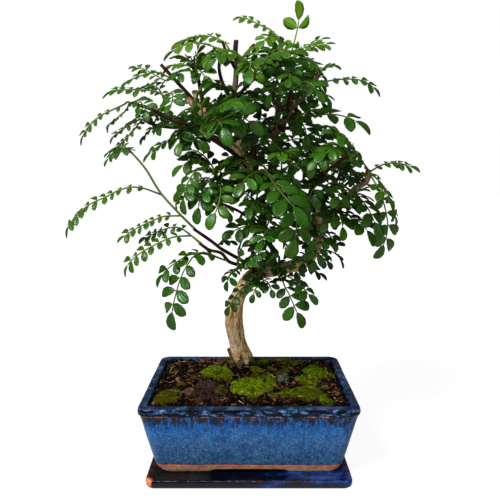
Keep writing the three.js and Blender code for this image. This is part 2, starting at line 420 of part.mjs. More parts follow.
function solidOf(geometry) {
  const bare = geometry.clone();
  bare.deleteAttribute('normal');
  bare.deleteAttribute('uv');
  const merged = mergeVertices(bare, 1e-4);
  return new wasm.Manifold(new wasm.Mesh({
    numProp: 3,
    vertProperties: new Float32Array(merged.attributes.position.array),
    triVerts: new Uint32Array(merged.index.array),
  }));
}

function geometryOf(body) {
  const mesh = body.getMesh();
  const geometry = new THREE.BufferGeometry();
  geometry.setAttribute('position', new THREE.BufferAttribute(new Float32Array(mesh.vertProperties), 3));
  geometry.setIndex(new THREE.BufferAttribute(new Uint32Array(mesh.triVerts), 1));
  geometry.computeVertexNormals();
  return geometry;
}

// The largest body of a solid: what a cut leaves loose is dropped.
function largest(body) {
  const pieces = body.decompose();
  pieces.sort((a, b) => b.volume() - a.volume());
  return pieces[0];
}

// The plan outline of a rounded rectangle, anticlockwise, with the same number of points at every size.
function roundedRectangle(halfX, halfY, corner, z) {
  const points = [];
  for (let k = 0; k < 4; k += 1) {
    const signX = k === 0 || k === 3 ? 1 : -1;
    const signY = k < 2 ? 1 : -1;
    for (let j = 0; j <= CORNER_STEPS; j += 1) {
      const angle = (k + j / CORNER_STEPS) * Math.PI / 2;
      points.push(new THREE.Vector3(
        signX * (halfX - corner) + corner * Math.cos(angle),
        signY * (halfY - corner) + corner * Math.sin(angle),
        z,
      ));
    }
  }
  return points;
}

// A solid through a list of rings with equal point counts; the first and last ring are closed flat.
function loft(rings) {
  const positions = rings.flat();
  const count = rings[0].length;
  const faces = [];
  for (let r = 0; r + 1 < rings.length; r += 1) {
    for (let i = 0; i < count; i += 1) {
      const a = r * count + i;
      const b = r * count + (i + 1) % count;
      faces.push([a, b, b + count], [a, b + count, a + count]);
    }
  }
  const last = (rings.length - 1) * count;
  for (let i = 1; i + 1 < count; i += 1) {
    faces.push([0, i + 1, i], [last, last + i, last + i + 1]);
  }
  return solid(positions, faces);
}

function box(lengthX, lengthY, lengthZ, x, y, z) {
  return solidOf(new THREE.BoxGeometry(lengthX, lengthY, lengthZ).translate(x, y, z));
}

// A saucer with a flat underside, a rounded lip and a sunk floor.
function saucer() {
  const { width, depth, height, floor, lip, corner } = SAUCER;
  const ring = (inset, z) => roundedRectangle(width / 2 - inset, depth / 2 - inset, corner - inset / 2, z);
  return loft([
    ring(2.5, 0), ring(0.6, 1.6), ring(0, height - 2), ring(0.8, height - 0.4), ring(2, height),
    ring(lip - 1.6, height - 0.6), ring(lip + 2.4, floor),
  ]);
}

// Half the pot's width at a height: straight tapered sides that round in just above the feet.
function potInset(z) {
  const level = (z - SAUCER.floor) / (POT.height - POT.rimHeight);
  const round = Math.max(0, 1 - level / 0.16);
  return POT.rimStep + POT_TAPER * (1 - level) + 2.5 * round * round;
}

// The front and back walls lean in this much more than the ends.
function extraSlope(z) {
  const level = (z - SAUCER.floor) / (POT.height - POT.rimHeight);
  return POT_EXTRA_SLOPE * Math.max(0, 1 - level);
}

function pot() {
  const ring = (inset, z, corner = POT_CORNER) => (
    roundedRectangle(POT.width / 2 - inset, POT.depth / 2 - inset - extraSlope(z), corner, z));
  const under = RIM_TOP - POT.rimHeight;
  const body = loft([
    ring(potInset(SAUCER.floor), SAUCER.floor, 11),
    ring(potInset(8), 8), ring(potInset(14), 14), ring(potInset(40), 40), ring(POT.rimStep, under),
    ring(0.2, under + 1.2), ring(0, under + 4), ring(0.7, RIM_TOP - 0.8), ring(2.2, RIM_TOP),
    ring(POT.rim - 1.4, RIM_TOP, 6), ring(POT.rim, RIM_TOP - 1.2, 5),
    ring(POT.rim + 0.4, under - 2, 5),
    ring(potInset(POT_FLOOR) + POT.wall, POT_FLOOR, 5),
  ]);
  return body.subtract(footRecess('x')).subtract(footRecess('y'))
    .subtract(drainHole(-1)).subtract(drainHole(1));
}

// The gap between two feet, as a sloped channel right across the base.
function footRecess(axis) {
  const half = axis === 'x' ? FOOT.innerX : FOOT.innerY;
  const low = SAUCER.floor - 1;
  const high = SAUCER.floor + FOOT.height;
  const profile = new THREE.Shape([
    new THREE.Vector2(-half - FOOT.slope / 3, low), new THREE.Vector2(half + FOOT.slope / 3, low),
    new THREE.Vector2(half - FOOT.slope, high), new THREE.Vector2(-half + FOOT.slope, high),
  ]);
  const channel = new THREE.ExtrudeGeometry(profile, { depth: POT.width + 20, bevelEnabled: false });
  channel.translate(0, 0, -POT.width / 2 - 10).rotateX(Math.PI / 2);
  if (axis === 'y') channel.rotateZ(Math.PI / 2);
  return solidOf(channel);
}

function drainHole(side) {
  const hole = new THREE.CylinderGeometry(DRAIN.radius, DRAIN.radius, 40, 16).rotateX(Math.PI / 2);
  return solidOf(hole.translate(side * DRAIN.spacing / 2, 0, SAUCER.floor));
}

// A square of mesh over a drain hole: a plate with rows of square holes.
function drainMesh(side) {
  const centre = side * DRAIN.spacing / 2;
  const middle = POT_FLOOR + DRAIN.meshThickness / 2;
  const pitch = (DRAIN.mesh - DRAIN.bar) / DRAIN.holes;
  const open = pitch - DRAIN.bar;
  let plate = box(DRAIN.mesh, DRAIN.mesh, DRAIN.meshThickness, centre, 0, middle);
  for (let i = 0; i < DRAIN.holes; i += 1) {
    for (let j = 0; j < DRAIN.holes; j += 1) {
      const x = (i - (DRAIN.holes - 1) / 2) * pitch;
      const y = (j - (DRAIN.holes - 1) / 2) * pitch;
      plate = plate.subtract(box(open, open, 3 * DRAIN.meshThickness, centre + x, y, middle));
    }
  }
  return plate;
}

// The soil's surface: level at the edge, mounded to the trunk, with shallow waves.
function soilHeight(x, y) {
  const distance = Math.hypot(x - MOUND.x, (y - MOUND.y) * 1.2);
  const mound = MOUND.height * Math.exp(-((distance / MOUND.spread) ** 2));
  const edgeX = Math.min(1, (POT.width / 2 - POT.rim - Math.abs(x)) / 14);
  const edgeY = Math.min(1, (POT.depth / 2 - POT.rim - Math.abs(y)) / 14);
  const crumbs = Math.sin(x * 0.31 + 1) * Math.cos(y * 0.37) + 0.6 * Math.sin(x * 0.13 - y * 0.21);
  return RIM_TOP - SOIL_EDGE_BELOW_RIM + Math.max(0, Math.min(edgeX, edgeY)) * (1.5 + mound) + crumbs * 0.6;
}

function soilBlock() {
  const inset = (z) => {
    const low = potInset(POT_FLOOR) + POT.wall;
    const high = POT.rim + 0.4;
    return low + (high - low) * (z - POT_FLOOR) / (RIM_TOP - POT.rimHeight - 2 - POT_FLOOR) + SEAT_GAP + 0.1;
  };
  const ring = (z) => (
    roundedRectangle(POT.width / 2 - inset(z), POT.depth / 2 - inset(z) - extraSlope(z), 5, z));
  const edge = roundedRectangle(POT.width / 2 - POT.rim - 0.8, POT.depth / 2 - POT.rim - 0.8, 5, 0);
  const top = [1, 0.78, 0.56, 0.36, 0.18, 0.03].map((scale) => edge.map((p) => {
    const x = p.x * scale + MOUND.x * (1 - scale);
    const y = p.y * scale + MOUND.y * (1 - scale);
    return new THREE.Vector3(x, y, soilHeight(x, y));
  }));
  return loft([ring(POT_FLOOR + SEAT_GAP), ring(RIM_TOP - POT.rimHeight - 2), ...top]);
}

function soil(fatWood) {
  const sheet = DRAIN.mesh + 2 * SEAT_GAP;
  const thick = 2 * (DRAIN.meshThickness + SEAT_GAP);
  const cover = (side) => box(sheet, sheet, thick, side * DRAIN.spacing / 2, 0, POT_FLOOR);
  return largest(soilBlock().subtract(cover(-1)).subtract(cover(1)).subtract(fatWood));
}

// A moss cushion: a low dome of rounded tufts, cut to lie on the soil.
function mossCushion(row, seed) {
  const draw = seeded(seed);
  const count = 11;
  const turn = radians(row.turn);
  const wobble = Array.from({ length: count }, () => 0.82 + 0.3 * draw());
  const ring = (scale, rise) => wobble.map((w, i) => {
    const angle = 2 * Math.PI * i / count;
    const u = row.a * w * scale * Math.cos(angle);
    const v = row.b * w * scale * Math.sin(angle);
    const x = row.x + u * Math.cos(turn) - v * Math.sin(turn);
    const y = row.y + u * Math.sin(turn) + v * Math.cos(turn);
    const tuft = rise > 0 ? 1.4 * (draw() - 0.5) : 0;
    return new THREE.Vector3(x, y, soilHeight(x, y) + rise * row.height + tuft);
  });
  return loft([ring(1, -0.5), ring(1, 0.3), ring(0.75, 0.8), ring(0.3, 1.05)]);
}

function stone(row) {
  const draw = seeded(row.seed);
  const geometry = mergeVertices(bareBall(), 1e-4);
  const position = geometry.attributes.position;
  for (let i = 0; i < position.count; i += 1) {
    const swell = 0.8 + 0.35 * draw();
    position.setXYZ(i, position.getX(i) * swell * row.a, position.getY(i) * swell * row.b,
      position.getZ(i) * swell * row.height);
  }
  geometry.translate(row.x, row.y, soilHeight(row.x, row.y) + row.lift);
  return solidOf(geometry);
}

function bareBall() {
  const ball = new THREE.DodecahedronGeometry(1, 0);
  ball.deleteAttribute('normal');
  ball.deleteAttribute('uv');
  return ball;
}

// A round limb along a path, closed at both ends; its section turns with the path and never twists.
function tube(points, radiusAt, sides, steps) {
  const curve = curveThrough(points);
  const rings = [];
  let side = new THREE.Vector3(1, 0, 0);
  for (let i = 0; i <= steps; i += 1) {
    const centre = curve.getPointAt(i / steps);
    const along = curve.getTangentAt(i / steps);
    side = side.clone().addScaledVector(along, -side.dot(along)).normalize();
    const other = new THREE.Vector3().crossVectors(along, side);
    rings.push(Array.from({ length: sides }, (_, k) => {
      const angle = 2 * Math.PI * k / sides;
      const radius = radiusAt(i / steps, angle);
      return centre.clone().addScaledVector(side, radius * Math.cos(angle))
        .addScaledVector(other, radius * Math.sin(angle));
    }));
  }
  return loft(rings);
}

// All the wood as one solid, or the same wood thicker by grow all round, to cut its neighbours with.
function wood(grow) {
  let body = null;
  for (const [name, limb] of Object.entries(WOOD)) {
    const swell = name === 'trunk' ? BARK.trunkSwell : BARK.limbSwell;
    const radiusAt = (t, angle) => {
      const flare = name === 'trunk' ? BARK.flare * Math.max(0, 1 - t / BARK.flareEnd) : 0;
      const bark = 1 + swell * Math.sin(3 * angle + 9 * t) + swell * Math.sin(23 * t);
      return (limb.from + (limb.to - limb.from) * t) * bark + flare + grow;
    };
    const limbSteps = Math.max(2, limb.path.length - (limb.sides > 6 ? 1 : 2));
    const steps = name === 'trunk' ? BARK.trunkSteps : limbSteps;
    const piece = tube(limb.path.map(vector), radiusAt, limb.sides, steps);
    body = body ? body.add(piece) : piece;
  }
  return body;
}

// A frond's rib with the side and face directions at each place: the face turns up, outward and to the front.
function ribOf(frond) {
  const curve = curveThrough(frond.path.map(vector));
  const length = curve.getLength();
  const middle = curve.getPointAt(0.5);
  const outward = new THREE.Vector3(middle.x - CROWN_AXIS[0], middle.y - CROWN_AXIS[1], 0).normalize();
  const facing = UP.clone().addScaledVector(outward, FACING.outward).addScaledVector(FRONT, FACING.front);
  const chord = curve.getPointAt(1).sub(curve.getPointAt(0));
  const across = chord.cross(facing);
  const at = (s) => {
    const u = Math.min(1, Math.max(0, s / length));
    const point = curve.getPointAt(u);
    const along = curve.getTangentAt(u);
    const face = across.clone().cross(along).normalize();
    face.applyAxisAngle(along, radians(frond.roll || 0));
    const side = new THREE.Vector3().crossVectors(along, face);
    return { point, along, face, side };
  };
  return { length: length - frond.size * LEAF.endScale, at };
}

// One frond as a thin arched blade cut to the rib: pairs of leaflets and one at the tip. The upper and lower
// A frond as one thin solid with a ridge along its rib: leaflets in pairs, side by side, and one at the tip.
function frondBlade(frond) {
  const { length, at } = ribOf(frond);
  const pairs = 2 + (length > THREE_PAIR_LENGTH) + (length > FOUR_PAIR_LENGTH);
  const bare = length * RIB.bare;
  const gap = (length - bare) / pairs;
  const positions = [];
  const faces = [];
  const put = (place, u, v, w) => positions.push(place.point.clone()
    .addScaledVector(place.along, u).addScaledVector(place.side, v).addScaledVector(place.face, w)) - 1;
  const section = (s) => {
    const place = at(s);
    return { left: put(place, 0, -RIB.half, 0), right: put(place, 0, RIB.half, 0),
      top: put(place, 0, 0, RIB.depth), bottom: put(place, 0, 0, -RIB.depth) };
  };
  const both = (node, edge) => {
    for (let i = 0; i + 1 < edge.length; i += 1) {
      faces.push([node.top, edge[i + 1], edge[i]], [node.bottom, edge[i], edge[i + 1]]);
    }
  };
  const strip = (a, b, rightOnes, leftOnes) => {
    both(a, [b.right, ...rightOnes, a.right]);
    both(a, [a.left, ...leftOnes, b.left]);
    faces.push([a.top, b.top, b.left], [a.bottom, b.left, b.bottom]);
    faces.push([a.top, b.right, b.top], [a.bottom, b.bottom, b.right]);
  };
  const leaflet = (place, hand, size) => {
    const cos = Math.cos(radians(LEAF.angle));
    const sin = Math.sin(radians(LEAF.angle));
    const spot = (out, forward, rise) => (
      put(place, out * cos + forward * sin, hand * (out * sin - forward * cos), rise));
    const low = Math.min(gap, size) * LEAF.low;
    return [spot(size, low * LEAF.tipShift, -LEAF.droop * size), spot(size * LEAF.widest, -low, 0)];
  };
  const foot = section(0);
  let before = section(bare);
  faces.push([foot.top, foot.bottom, foot.right], [foot.top, foot.left, foot.bottom]);
  strip(foot, before, [], []);
  for (let i = 0; i < pairs; i += 1) {
    const next = section(bare + gap * (i + 1));
    const place = at(bare + gap * (i + 0.5));
    const size = frond.size * (LEAF.lowScale + (1 - LEAF.lowScale) * i / (pairs - 1));
    strip(before, next, leaflet(place, 1, size), leaflet(place, -1, size).reverse());
    before = next;
  }
  const end = at(length);
  const size = frond.size * LEAF.endScale;
  const broad = size * LEAF.breadth / 2;
  both(before, [before.left, put(end, size * LEAF.widest, -broad, 0), put(end, size, 0, -LEAF.droop * size),
    put(end, size * LEAF.widest, broad, 0), before.right]);
  return solid(positions, faces);
}

// Points over a frond's breadth, at which it is kept clear of its neighbours.
function ribbonOf(frond) {
  const { length, at } = ribOf(frond);
  const whole = length + frond.size;
  const points = [];
  for (let s = 2 * RIBBON_STEP; s <= whole; s += RIBBON_STEP) {
    const place = at(s);
    const shares = s < PETIOLE_SHARE * length ? [0] : [0, 0.45, -0.45, 0.9, -0.9];
    for (const share of shares) {
      points.push(place.point.clone().addScaledVector(place.side, share * frond.size));
    }
  }
  return points;
}

// Where leaves and wood already are, in cells, with the room that each point needs.
const taken = new Map();
const cellKey = (i, j, k) => `${i},${j},${k}`;

function take(point, owner, room) {
  const key = cellKey(Math.floor(point.x / CELL), Math.floor(point.y / CELL), Math.floor(point.z / CELL));
  if (!taken.has(key)) taken.set(key, []);
  taken.get(key).push({ point, owner, room });
}

function isFree(point, owner) {
  const home = [Math.floor(point.x / CELL), Math.floor(point.y / CELL), Math.floor(point.z / CELL)];
  for (let i = home[0] - 1; i <= home[0] + 1; i += 1) {
    for (let j = home[1] - 1; j <= home[1] + 1; j += 1) {
      for (let k = home[2] - 1; k <= home[2] + 1; k += 1) {
        for (const other of taken.get(cellKey(i, j, k)) || []) {
          const room = other.owner === owner ? CLEAR_IN_SPRAY : other.room;
          if (other.point.distanceTo(point) < room) return false;
        }
      }
    }
  }
  return true;
}

// Whether a point, as seen from the front, lies inside the crown's outline, and is not too deep.
function insideCrown(point) {
  const share = (OUTLINE_PLANE - VIEW_POINT[1]) / (point.y - VIEW_POINT[1]);
  const x = VIEW_POINT[0] + (point.x - VIEW_POINT[0]) * share;
  const z = VIEW_POINT[2] + (point.z - VIEW_POINT[2]) * share;
  const acrossShare = (point.x - CROWN_AXIS[0]) / CROWN_REACH[0];
  const deepShare = (point.y - CROWN_AXIS[1]) / CROWN_REACH[1];
  let crossings = 0;
  for (let i = 0; i < CROWN_OUTLINE.length; i += 1) {
    const [ax, az] = CROWN_OUTLINE[i];
    const [bx, bz] = CROWN_OUTLINE[(i + 1) % CROWN_OUTLINE.length];
    if ((az > z) !== (bz > z) && x < ax + (bx - ax) * (z - az) / (bz - az)) crossings += 1;
  }
  return crossings % 2 === 1 && acrossShare ** 2 + deepShare ** 2 < 1;
}

// A frond that rises from its stem and arches over under its own weight.
function archedFrond(start, heading, rise, droop, length, size, pairs, roll) {
  const path = [[start.x, start.y, start.z]];
  const point = start.clone();
  for (let k = 0; k < ARCH.steps; k += 1) {
    point.addScaledVector(direction(heading, rise - droop * k / (ARCH.steps - 1)), length / ARCH.steps);
    path.push([point.x, point.y, point.z]);
  }
  return { pairs, size, roll, path };
}

function fillSpray(row, number) {
  const limb = curveThrough(WOOD[row.limb].path.map(vector));
  const root = limb.getPointAt(row.along);
  const way = direction(row.heading, row.rise);
  const tip = root.clone().addScaledVector(way, row.length);
  const fronds = [];
  for (let j = 0; j < row.fronds; j += 1) {
    for (let attempt = 0; attempt < TRIES; attempt += 1) {
      const draw = seeded(1000 * number + 50 * j + attempt);
      const detour = attempt * ARCH.turnStep * (attempt % 2 ? 1 : -1);
      const spread = (j - (row.fronds - 1) / 2) * ARCH.spread + detour;
      const frond = archedFrond(
        root.clone().addScaledVector(way, row.length * (FROND.seat + FROND.seatRange * draw())),
        row.heading + spread + ARCH.turnJitter * (draw() - 0.5),
        row.rise + ARCH.riseRange * draw(),
        ARCH.droop + ARCH.droopRange * draw(),
        row.size * (FROND.length + FROND.lengthRange * draw()),
        row.size * (FROND.size + FROND.sizeRange * draw()),
        FROND.pairs + Math.floor(FROND.pairsRange * draw()),
        FROND.roll * (draw() - 0.5),
      );
      const ribbon = ribbonOf(frond);
      const fits = ribbon.every((p) => isFree(p, row.name) && insideCrown(p));
      if (fits) {
        ribbon.forEach((p) => take(p, row.name, CLEAR_OF_LEAVES));
        fronds.push(frond);
        break;
      }
    }
  }
  return { name: row.name, stem: [[root.x, root.y, root.z], [tip.x, tip.y, tip.z]], fronds };
}

// The places on a stem's outer part where its fronds leave it, one for each frond.
function seatsOf(stem, fronds) {
  const length = stem.getLength();
  const free = Math.max(SEATS.share, 1 - SEATS.clear / length);
  const steps = Math.max(fronds, Math.floor(length * free / SEATS.spacing));
  return Array.from({ length: steps + 1 }, (_, i) => stem.getPointAt(1 - free * i / steps));
}

// A spray as one solid: its stem, its fronds set into the stem, cut clear of the wood.
function spraySolid(spray, fatWood) {
  const stem = curveThrough(spray.stem.map(vector));
  const steps = Math.max(1, Math.round(stem.getLength() / 14));
  let body = tube(spray.stem.map(vector), (t) => STEM_RADIUS * (1 - 0.2 * t), 4, steps);
  const seats = seatsOf(stem, spray.fronds.length);
  for (const frond of spray.fronds) {
    const foot = vector(frond.path[0]);
    seats.sort((a, b) => a.distanceTo(foot) - b.distanceTo(foot));
    const seat = seats.shift();
    const path = [[seat.x, seat.y, seat.z], ...frond.path.slice(1)];
    body = body.add(frondBlade({ ...frond, path }));
  }
  return largest(body.subtract(fatWood));
}

const model = new THREE.Group();

function addNode(name, body, color, roughness, metalness = 0) {
  const material = new THREE.MeshStandardMaterial({ color, roughness, metalness });
  const mesh = new THREE.Mesh(geometryOf(body), material);
  mesh.name = name;
  model.add(mesh);
}

const fatWood = wood(SEAT_GAP);
const ground = soilBlock();
const raisedGround = ground.translate(0, 0, SEAT_GAP);

addNode('saucer', saucer(), 0x10182e, 0.2);
addNode('pot', pot(), 0x2a4f8c, 0.25);
addNode('drain_mesh_left', drainMesh(-1), 0x1c1c1c, 0.7);
addNode('drain_mesh_right', drainMesh(1), 0x1c1c1c, 0.7);
addNode('soil', soil(fatWood), 0x2c2019, 0.95);
addNode('trunk_and_branches', wood(0), 0x8d6c48, 0.85);
MOSS.forEach((row, i) => {
  const cushion = mossCushion(row, MOSS_SEED + i).subtract(raisedGround).subtract(fatWood);
  addNode(row.name, largest(cushion), 0x6f8f1c, 0.9);
});
STONES.forEach((row) => addNode(row.name, largest(stone(row).subtract(raisedGround)), row.color, 0.85));

for (const limb of Object.values(WOOD)) {
  const curve = curveThrough(limb.path.map(vector));
  const count = Math.ceil(curve.getLength() / RIBBON_STEP);
  for (let i = 0; i <= count; i += 1) {
    const radius = limb.from + (limb.to - limb.from) * i / count;
    take(curve.getPointAt(i / count), 'wood', radius + CLEAR_OF_WOOD);
  }
}
for (const spray of SPRAYS) {
  for (const frond of spray.fronds) {
    ribbonOf(frond).forEach((p) => take(p, spray.name, CLEAR_OF_LEAVES));
  }
}
const filled = FILL.map((row, i) => fillSpray(row, i + 1));
for (const spray of [...SPRAYS, ...filled]) {
  addNode(`spray_${spray.name}`, spraySolid(spray, fatWood), 0x2f6b22, 0.45);
}

export default model;
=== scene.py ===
"""Looks of the japanese pepper tree bonsai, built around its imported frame.

Metres, +Z up, +X to the viewer's right, the viewer at -Y. Tables and shapes are in millimetres, and
Skin.build turns them into metres.
"""
import math
import random

import bpy
import numpy as np
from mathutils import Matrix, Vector, noise


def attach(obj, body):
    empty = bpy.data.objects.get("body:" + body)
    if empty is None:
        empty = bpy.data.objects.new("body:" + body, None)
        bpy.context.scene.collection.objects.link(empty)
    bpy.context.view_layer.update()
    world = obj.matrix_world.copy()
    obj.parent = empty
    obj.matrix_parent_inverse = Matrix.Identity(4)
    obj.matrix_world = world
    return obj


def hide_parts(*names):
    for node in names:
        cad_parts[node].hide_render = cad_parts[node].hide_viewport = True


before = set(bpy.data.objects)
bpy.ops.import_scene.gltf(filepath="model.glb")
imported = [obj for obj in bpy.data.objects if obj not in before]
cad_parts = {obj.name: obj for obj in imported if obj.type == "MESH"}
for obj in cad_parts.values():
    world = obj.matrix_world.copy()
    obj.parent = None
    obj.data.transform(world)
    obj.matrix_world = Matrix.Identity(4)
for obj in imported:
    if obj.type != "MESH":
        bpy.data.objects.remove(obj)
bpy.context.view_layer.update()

MM = 0.001
BODY = "root"

# The same driving sizes as the solids, in millimetres.
SAUCER = {"width": 188, "depth": 152, "height": 8, "floor": 4, "lip": 5}
POT = {"width": 200, "depth": 150, "height": 71, "rim": 8.5, "rim_height": 8, "rim_step": 1.5, "wall": 7,
       "base": 10}
POT_TAPER = 12
POT_EXTRA_SLOPE = 8
FOOT = {"height": 3.5, "inner_x": 37, "inner_y": 20, "slope": 6}
DRAIN = {"spacing": 84, "radius": 7}
SOIL_EDGE_BELOW_RIM = 3
MOUND = {"x": -6, "y": 34, "height": 9, "spread": 46, "stretch": 1.2}
SOIL_SHOULDER = 14
CROWN_AXIS = (15, 10)
CROWN_REACH = (175, 118)
VIEW_POINT = (1, -549, 278)
OUTLINE_PLANE = 10
CLEAR_OF_LEAVES = 4.6
CLEAR_OF_WOOD = 3
CLEAR_IN_SPRAY = 2.2
PETIOLE_SHARE = 0.3
RIBBON_STEP = 4
TRIES = 40
LEAF = {"breadth": 0.6, "angle": 64, "end_scale": 1.05}
FACING = {"outward": 0.5, "front": 0.45}
ARCH = {"steps": 4, "spread": 62, "turn_step": 23, "jitter": 30, "rise": 45, "droop": 60, "droop_range": 45}
FROND = {"seat": 0.4, "seat_range": 0.55, "length": 3.3, "length_range": 1.3, "size": 0.9, "size_range": 0.3,
         "pairs": 4, "pairs_range": 2.2, "roll": 50}
SEATS = {"clear": 3, "share": 0.5, "spacing": 1.6}
RIM_TOP = SAUCER["floor"] + POT["height"]
POT_FLOOR = SAUCER["floor"] + POT["base"]
# Half the room inside the rim, in x and y.
SOIL_HALF = (POT["width"] / 2 - POT["rim"], POT["depth"] / 2 - POT["rim"])
# Every random draw starts from one of these.
SEEDS = {"sprays": 7000, "shoots": 77, "soil": 11, "moss": 200, "outlines": 31, "scatter": 41, "grains": 53}

# The camera: a lens of FOCAL pixels on a picture of PICTURE pixels, tilted down by PITCH degrees.
PICTURE = 500
FOCAL = 563.5
EYE = (0.9, -549, 278)
PITCH = 7.38
SENSOR_MM = 36
NEAREST, FARTHEST = 0.01, 50



def linear(colour):
    """A colour as the screen shows it, 0 to 255, as the linear values that a shader takes; the rest stays."""
    if isinstance(colour, bpy.types.NodeSocket) or len(colour) > 3:
        return colour
    return (*(c / 255 / 12.92 if c <= 10 else ((c / 255 + 0.055) / 1.055) ** 2.4 for c in colour), 1)


class Tree:
    """A tree of shader nodes."""

    def __init__(self, tree):
        self.nodes, self.links = tree.nodes, tree.links

    def node(self, kind, inputs=None, **settings):
        """A node with its settings; each input is a value or another node's output."""
        made = self.nodes.new(kind)
        for key, value in settings.items():
            setattr(made, key, value)
        for key, value in (inputs or {}).items():
            if isinstance(value, bpy.types.NodeSocket):
                self.links.new(value, made.inputs[key])
            else:
                made.inputs[key].default_value = value
        return made


class Finish(Tree):
    """A material: one Principled shader and the patterns that feed it, with sizes in millimetres."""

    def __init__(self, name, roughness=0.5, specular=0.5):
        self.material = bpy.data.materials.new(name)
        self.material.use_nodes = True
        super().__init__(self.material.node_tree)
        self.shader = self.nodes["Principled BSDF"]
        self.shader.inputs["Roughness"].default_value = roughness
        self.shader.inputs["Specular IOR Level"].default_value = specular
        self.place = self.node("ShaderNodeTexCoord").outputs["Object"]
        self.bumps = None

    def feed(self, **sockets):
        for name, value in sockets.items():
            self.links.new(value, self.shader.inputs[name.replace("_", " ")])
        return self

    def stretched(self, x, y, z):
        return self.node("ShaderNodeMapping", {"Vector": self.place, "Scale": (x, y, z)}).outputs[0]

    def noise(self, size, detail=4, stretch=(1, 1, 1), rough=0.6, warp=0):
        inputs = {"Vector": self.stretched(*stretch), "Scale": 1 / (size * MM), "Detail": detail,
                  "Roughness": rough, "Distortion": warp}
        return self.node("ShaderNodeTexNoise", inputs).outputs["Fac"]

    def cells(self, size, feature="F1", stretch=(1, 1, 1)):
        inputs = {"Vector": self.stretched(*stretch), "Scale": 1 / (size * MM)}
        return self.node("ShaderNodeTexVoronoi", inputs, feature=feature).outputs["Distance"]

    def tone(self):
        """The mesh's own four numbers for each point."""
        made = self.node("ShaderNodeAttribute", attribute_name="tone")
        parts = self.node("ShaderNodeSeparateColor", {"Color": made.outputs["Color"]})
        return [*parts.outputs[:3], made.outputs["Alpha"]]

    def axis(self, letter):
        return self.node("ShaderNodeSeparateXYZ", {"Vector": self.place}).outputs[letter]

    def up(self):
        """How far the surface faces up, from -1 to 1."""
        normal = self.node("ShaderNodeNewGeometry").outputs["Normal"]
        return self.node("ShaderNodeSeparateXYZ", {"Vector": normal}).outputs["Z"]

    def math(self, operation, a, b=0.0):
        return self.node("ShaderNodeMath", {0: a, 1: b}, operation=operation).outputs[0]

    def sum(self, a, b):
        return self.math("ADD", a, b)

    def less(self, a, b):
        return self.math("SUBTRACT", a, b)

    def times(self, a, b):
        return self.math("MULTIPLY", a, b)

    def most(self, a, b):
        return self.math("MAXIMUM", a, b)

    def apart(self, a, b):
        """How far apart two values are."""
        return self.math("ABSOLUTE", self.less(a, b))

    def span(self, value, low, high, at_low=0.0, at_high=1.0):
        """A value carried from one range to another and kept inside it."""
        inputs = {"Value": value, "From Min": low, "From Max": high, "To Min": at_low, "To Max": at_high}
        return self.node("ShaderNodeMapRange", inputs).outputs["Result"]

    def span_mm(self, value, low, high, *ends):
        """The same for a place or a length, with the first range in millimetres."""
        return self.span(value, low * MM, high * MM, *ends)

    def ramp(self, value, *stops):
        made = self.node("ShaderNodeValToRGB", {"Fac": value})
        points = made.color_ramp.elements
        while len(points) < len(stops):
            points.new(0.5)
        for point, (position, colour) in zip(points, stops):
            point.position, point.color = position, linear(colour)
        return made.outputs["Color"]

    def mix(self, share, a, b):
        return self.node("ShaderNodeMix", {0: share, 6: linear(a), 7: linear(b)}, data_type="RGBA").outputs[2]

    def bump(self, height, depth, strength=1.0):
        """Relief of so many millimetres, on top of what is there already."""
        inputs = {"Height": height, "Distance": depth * MM, "Strength": strength}
        if self.bumps:
            inputs["Normal"] = self.bumps
        self.bumps = self.node("ShaderNodeBump", inputs).outputs["Normal"]
        return self.feed(Normal=self.bumps)


def leaf_finish(name, dark, light, young, vein, roughness, specular):
    """A leaflet's skin: its own shade of green, mottling, a midrib and side veins that run to the edge."""
    f = Finish(name, roughness, specular)
    own, youth, across, along = f.tone()
    mottle = f.noise(3.2, 3)
    green = f.mix(own, dark, light)
    green = f.mix(youth, green, young)
    green = f.mix(f.span(mottle, 0.35, 0.7, 0, 0.3), green, vein)
    off = f.apart(across, 0.5)
    midrib = f.span(off, 0.02, 0.07, 1, 0)
    slanted = f.less(f.times(along, 8.0), f.times(off, 5.0))
    side_vein = f.span(f.math("PINGPONG", slanted, 0.5), 0.02, 0.12, 1, 0)
    veins = f.most(midrib, f.times(side_vein, 0.35))
    green = f.mix(f.times(veins, 0.55), green, vein)
    edge = f.span(off, 0.44, 0.5, 0, 0.35)
    green = f.mix(edge, green, young)
    f.feed(Base_Color=green, Roughness=f.span(mottle, 0.3, 0.7, roughness - 0.08, roughness + 0.12))
    f.bump(f.noise(0.6, 2), 0.05, 0.5)
    return f.bump(veins, 0.16, 0.8).material


def rib_finish():
    """Ribs and young stems: yellow-green, with brown streaks where they are old."""
    f = Finish("rib_and_stem_skin", 0.5)
    own, youth, _, _ = f.tone()
    streak = f.noise(1.2, 4, stretch=(1, 1, 0.3))
    green = f.mix(own, (22, 66, 10), (62, 98, 24))
    green = f.mix(youth, green, (140, 172, 44))
    brown = f.span(f.less(streak, f.times(youth, 0.25)), 0.46, 0.64)
    f.feed(Base_Color=f.mix(brown, green, (84, 58, 34)))
    return f.bump(streak, 0.12, 0.6).material


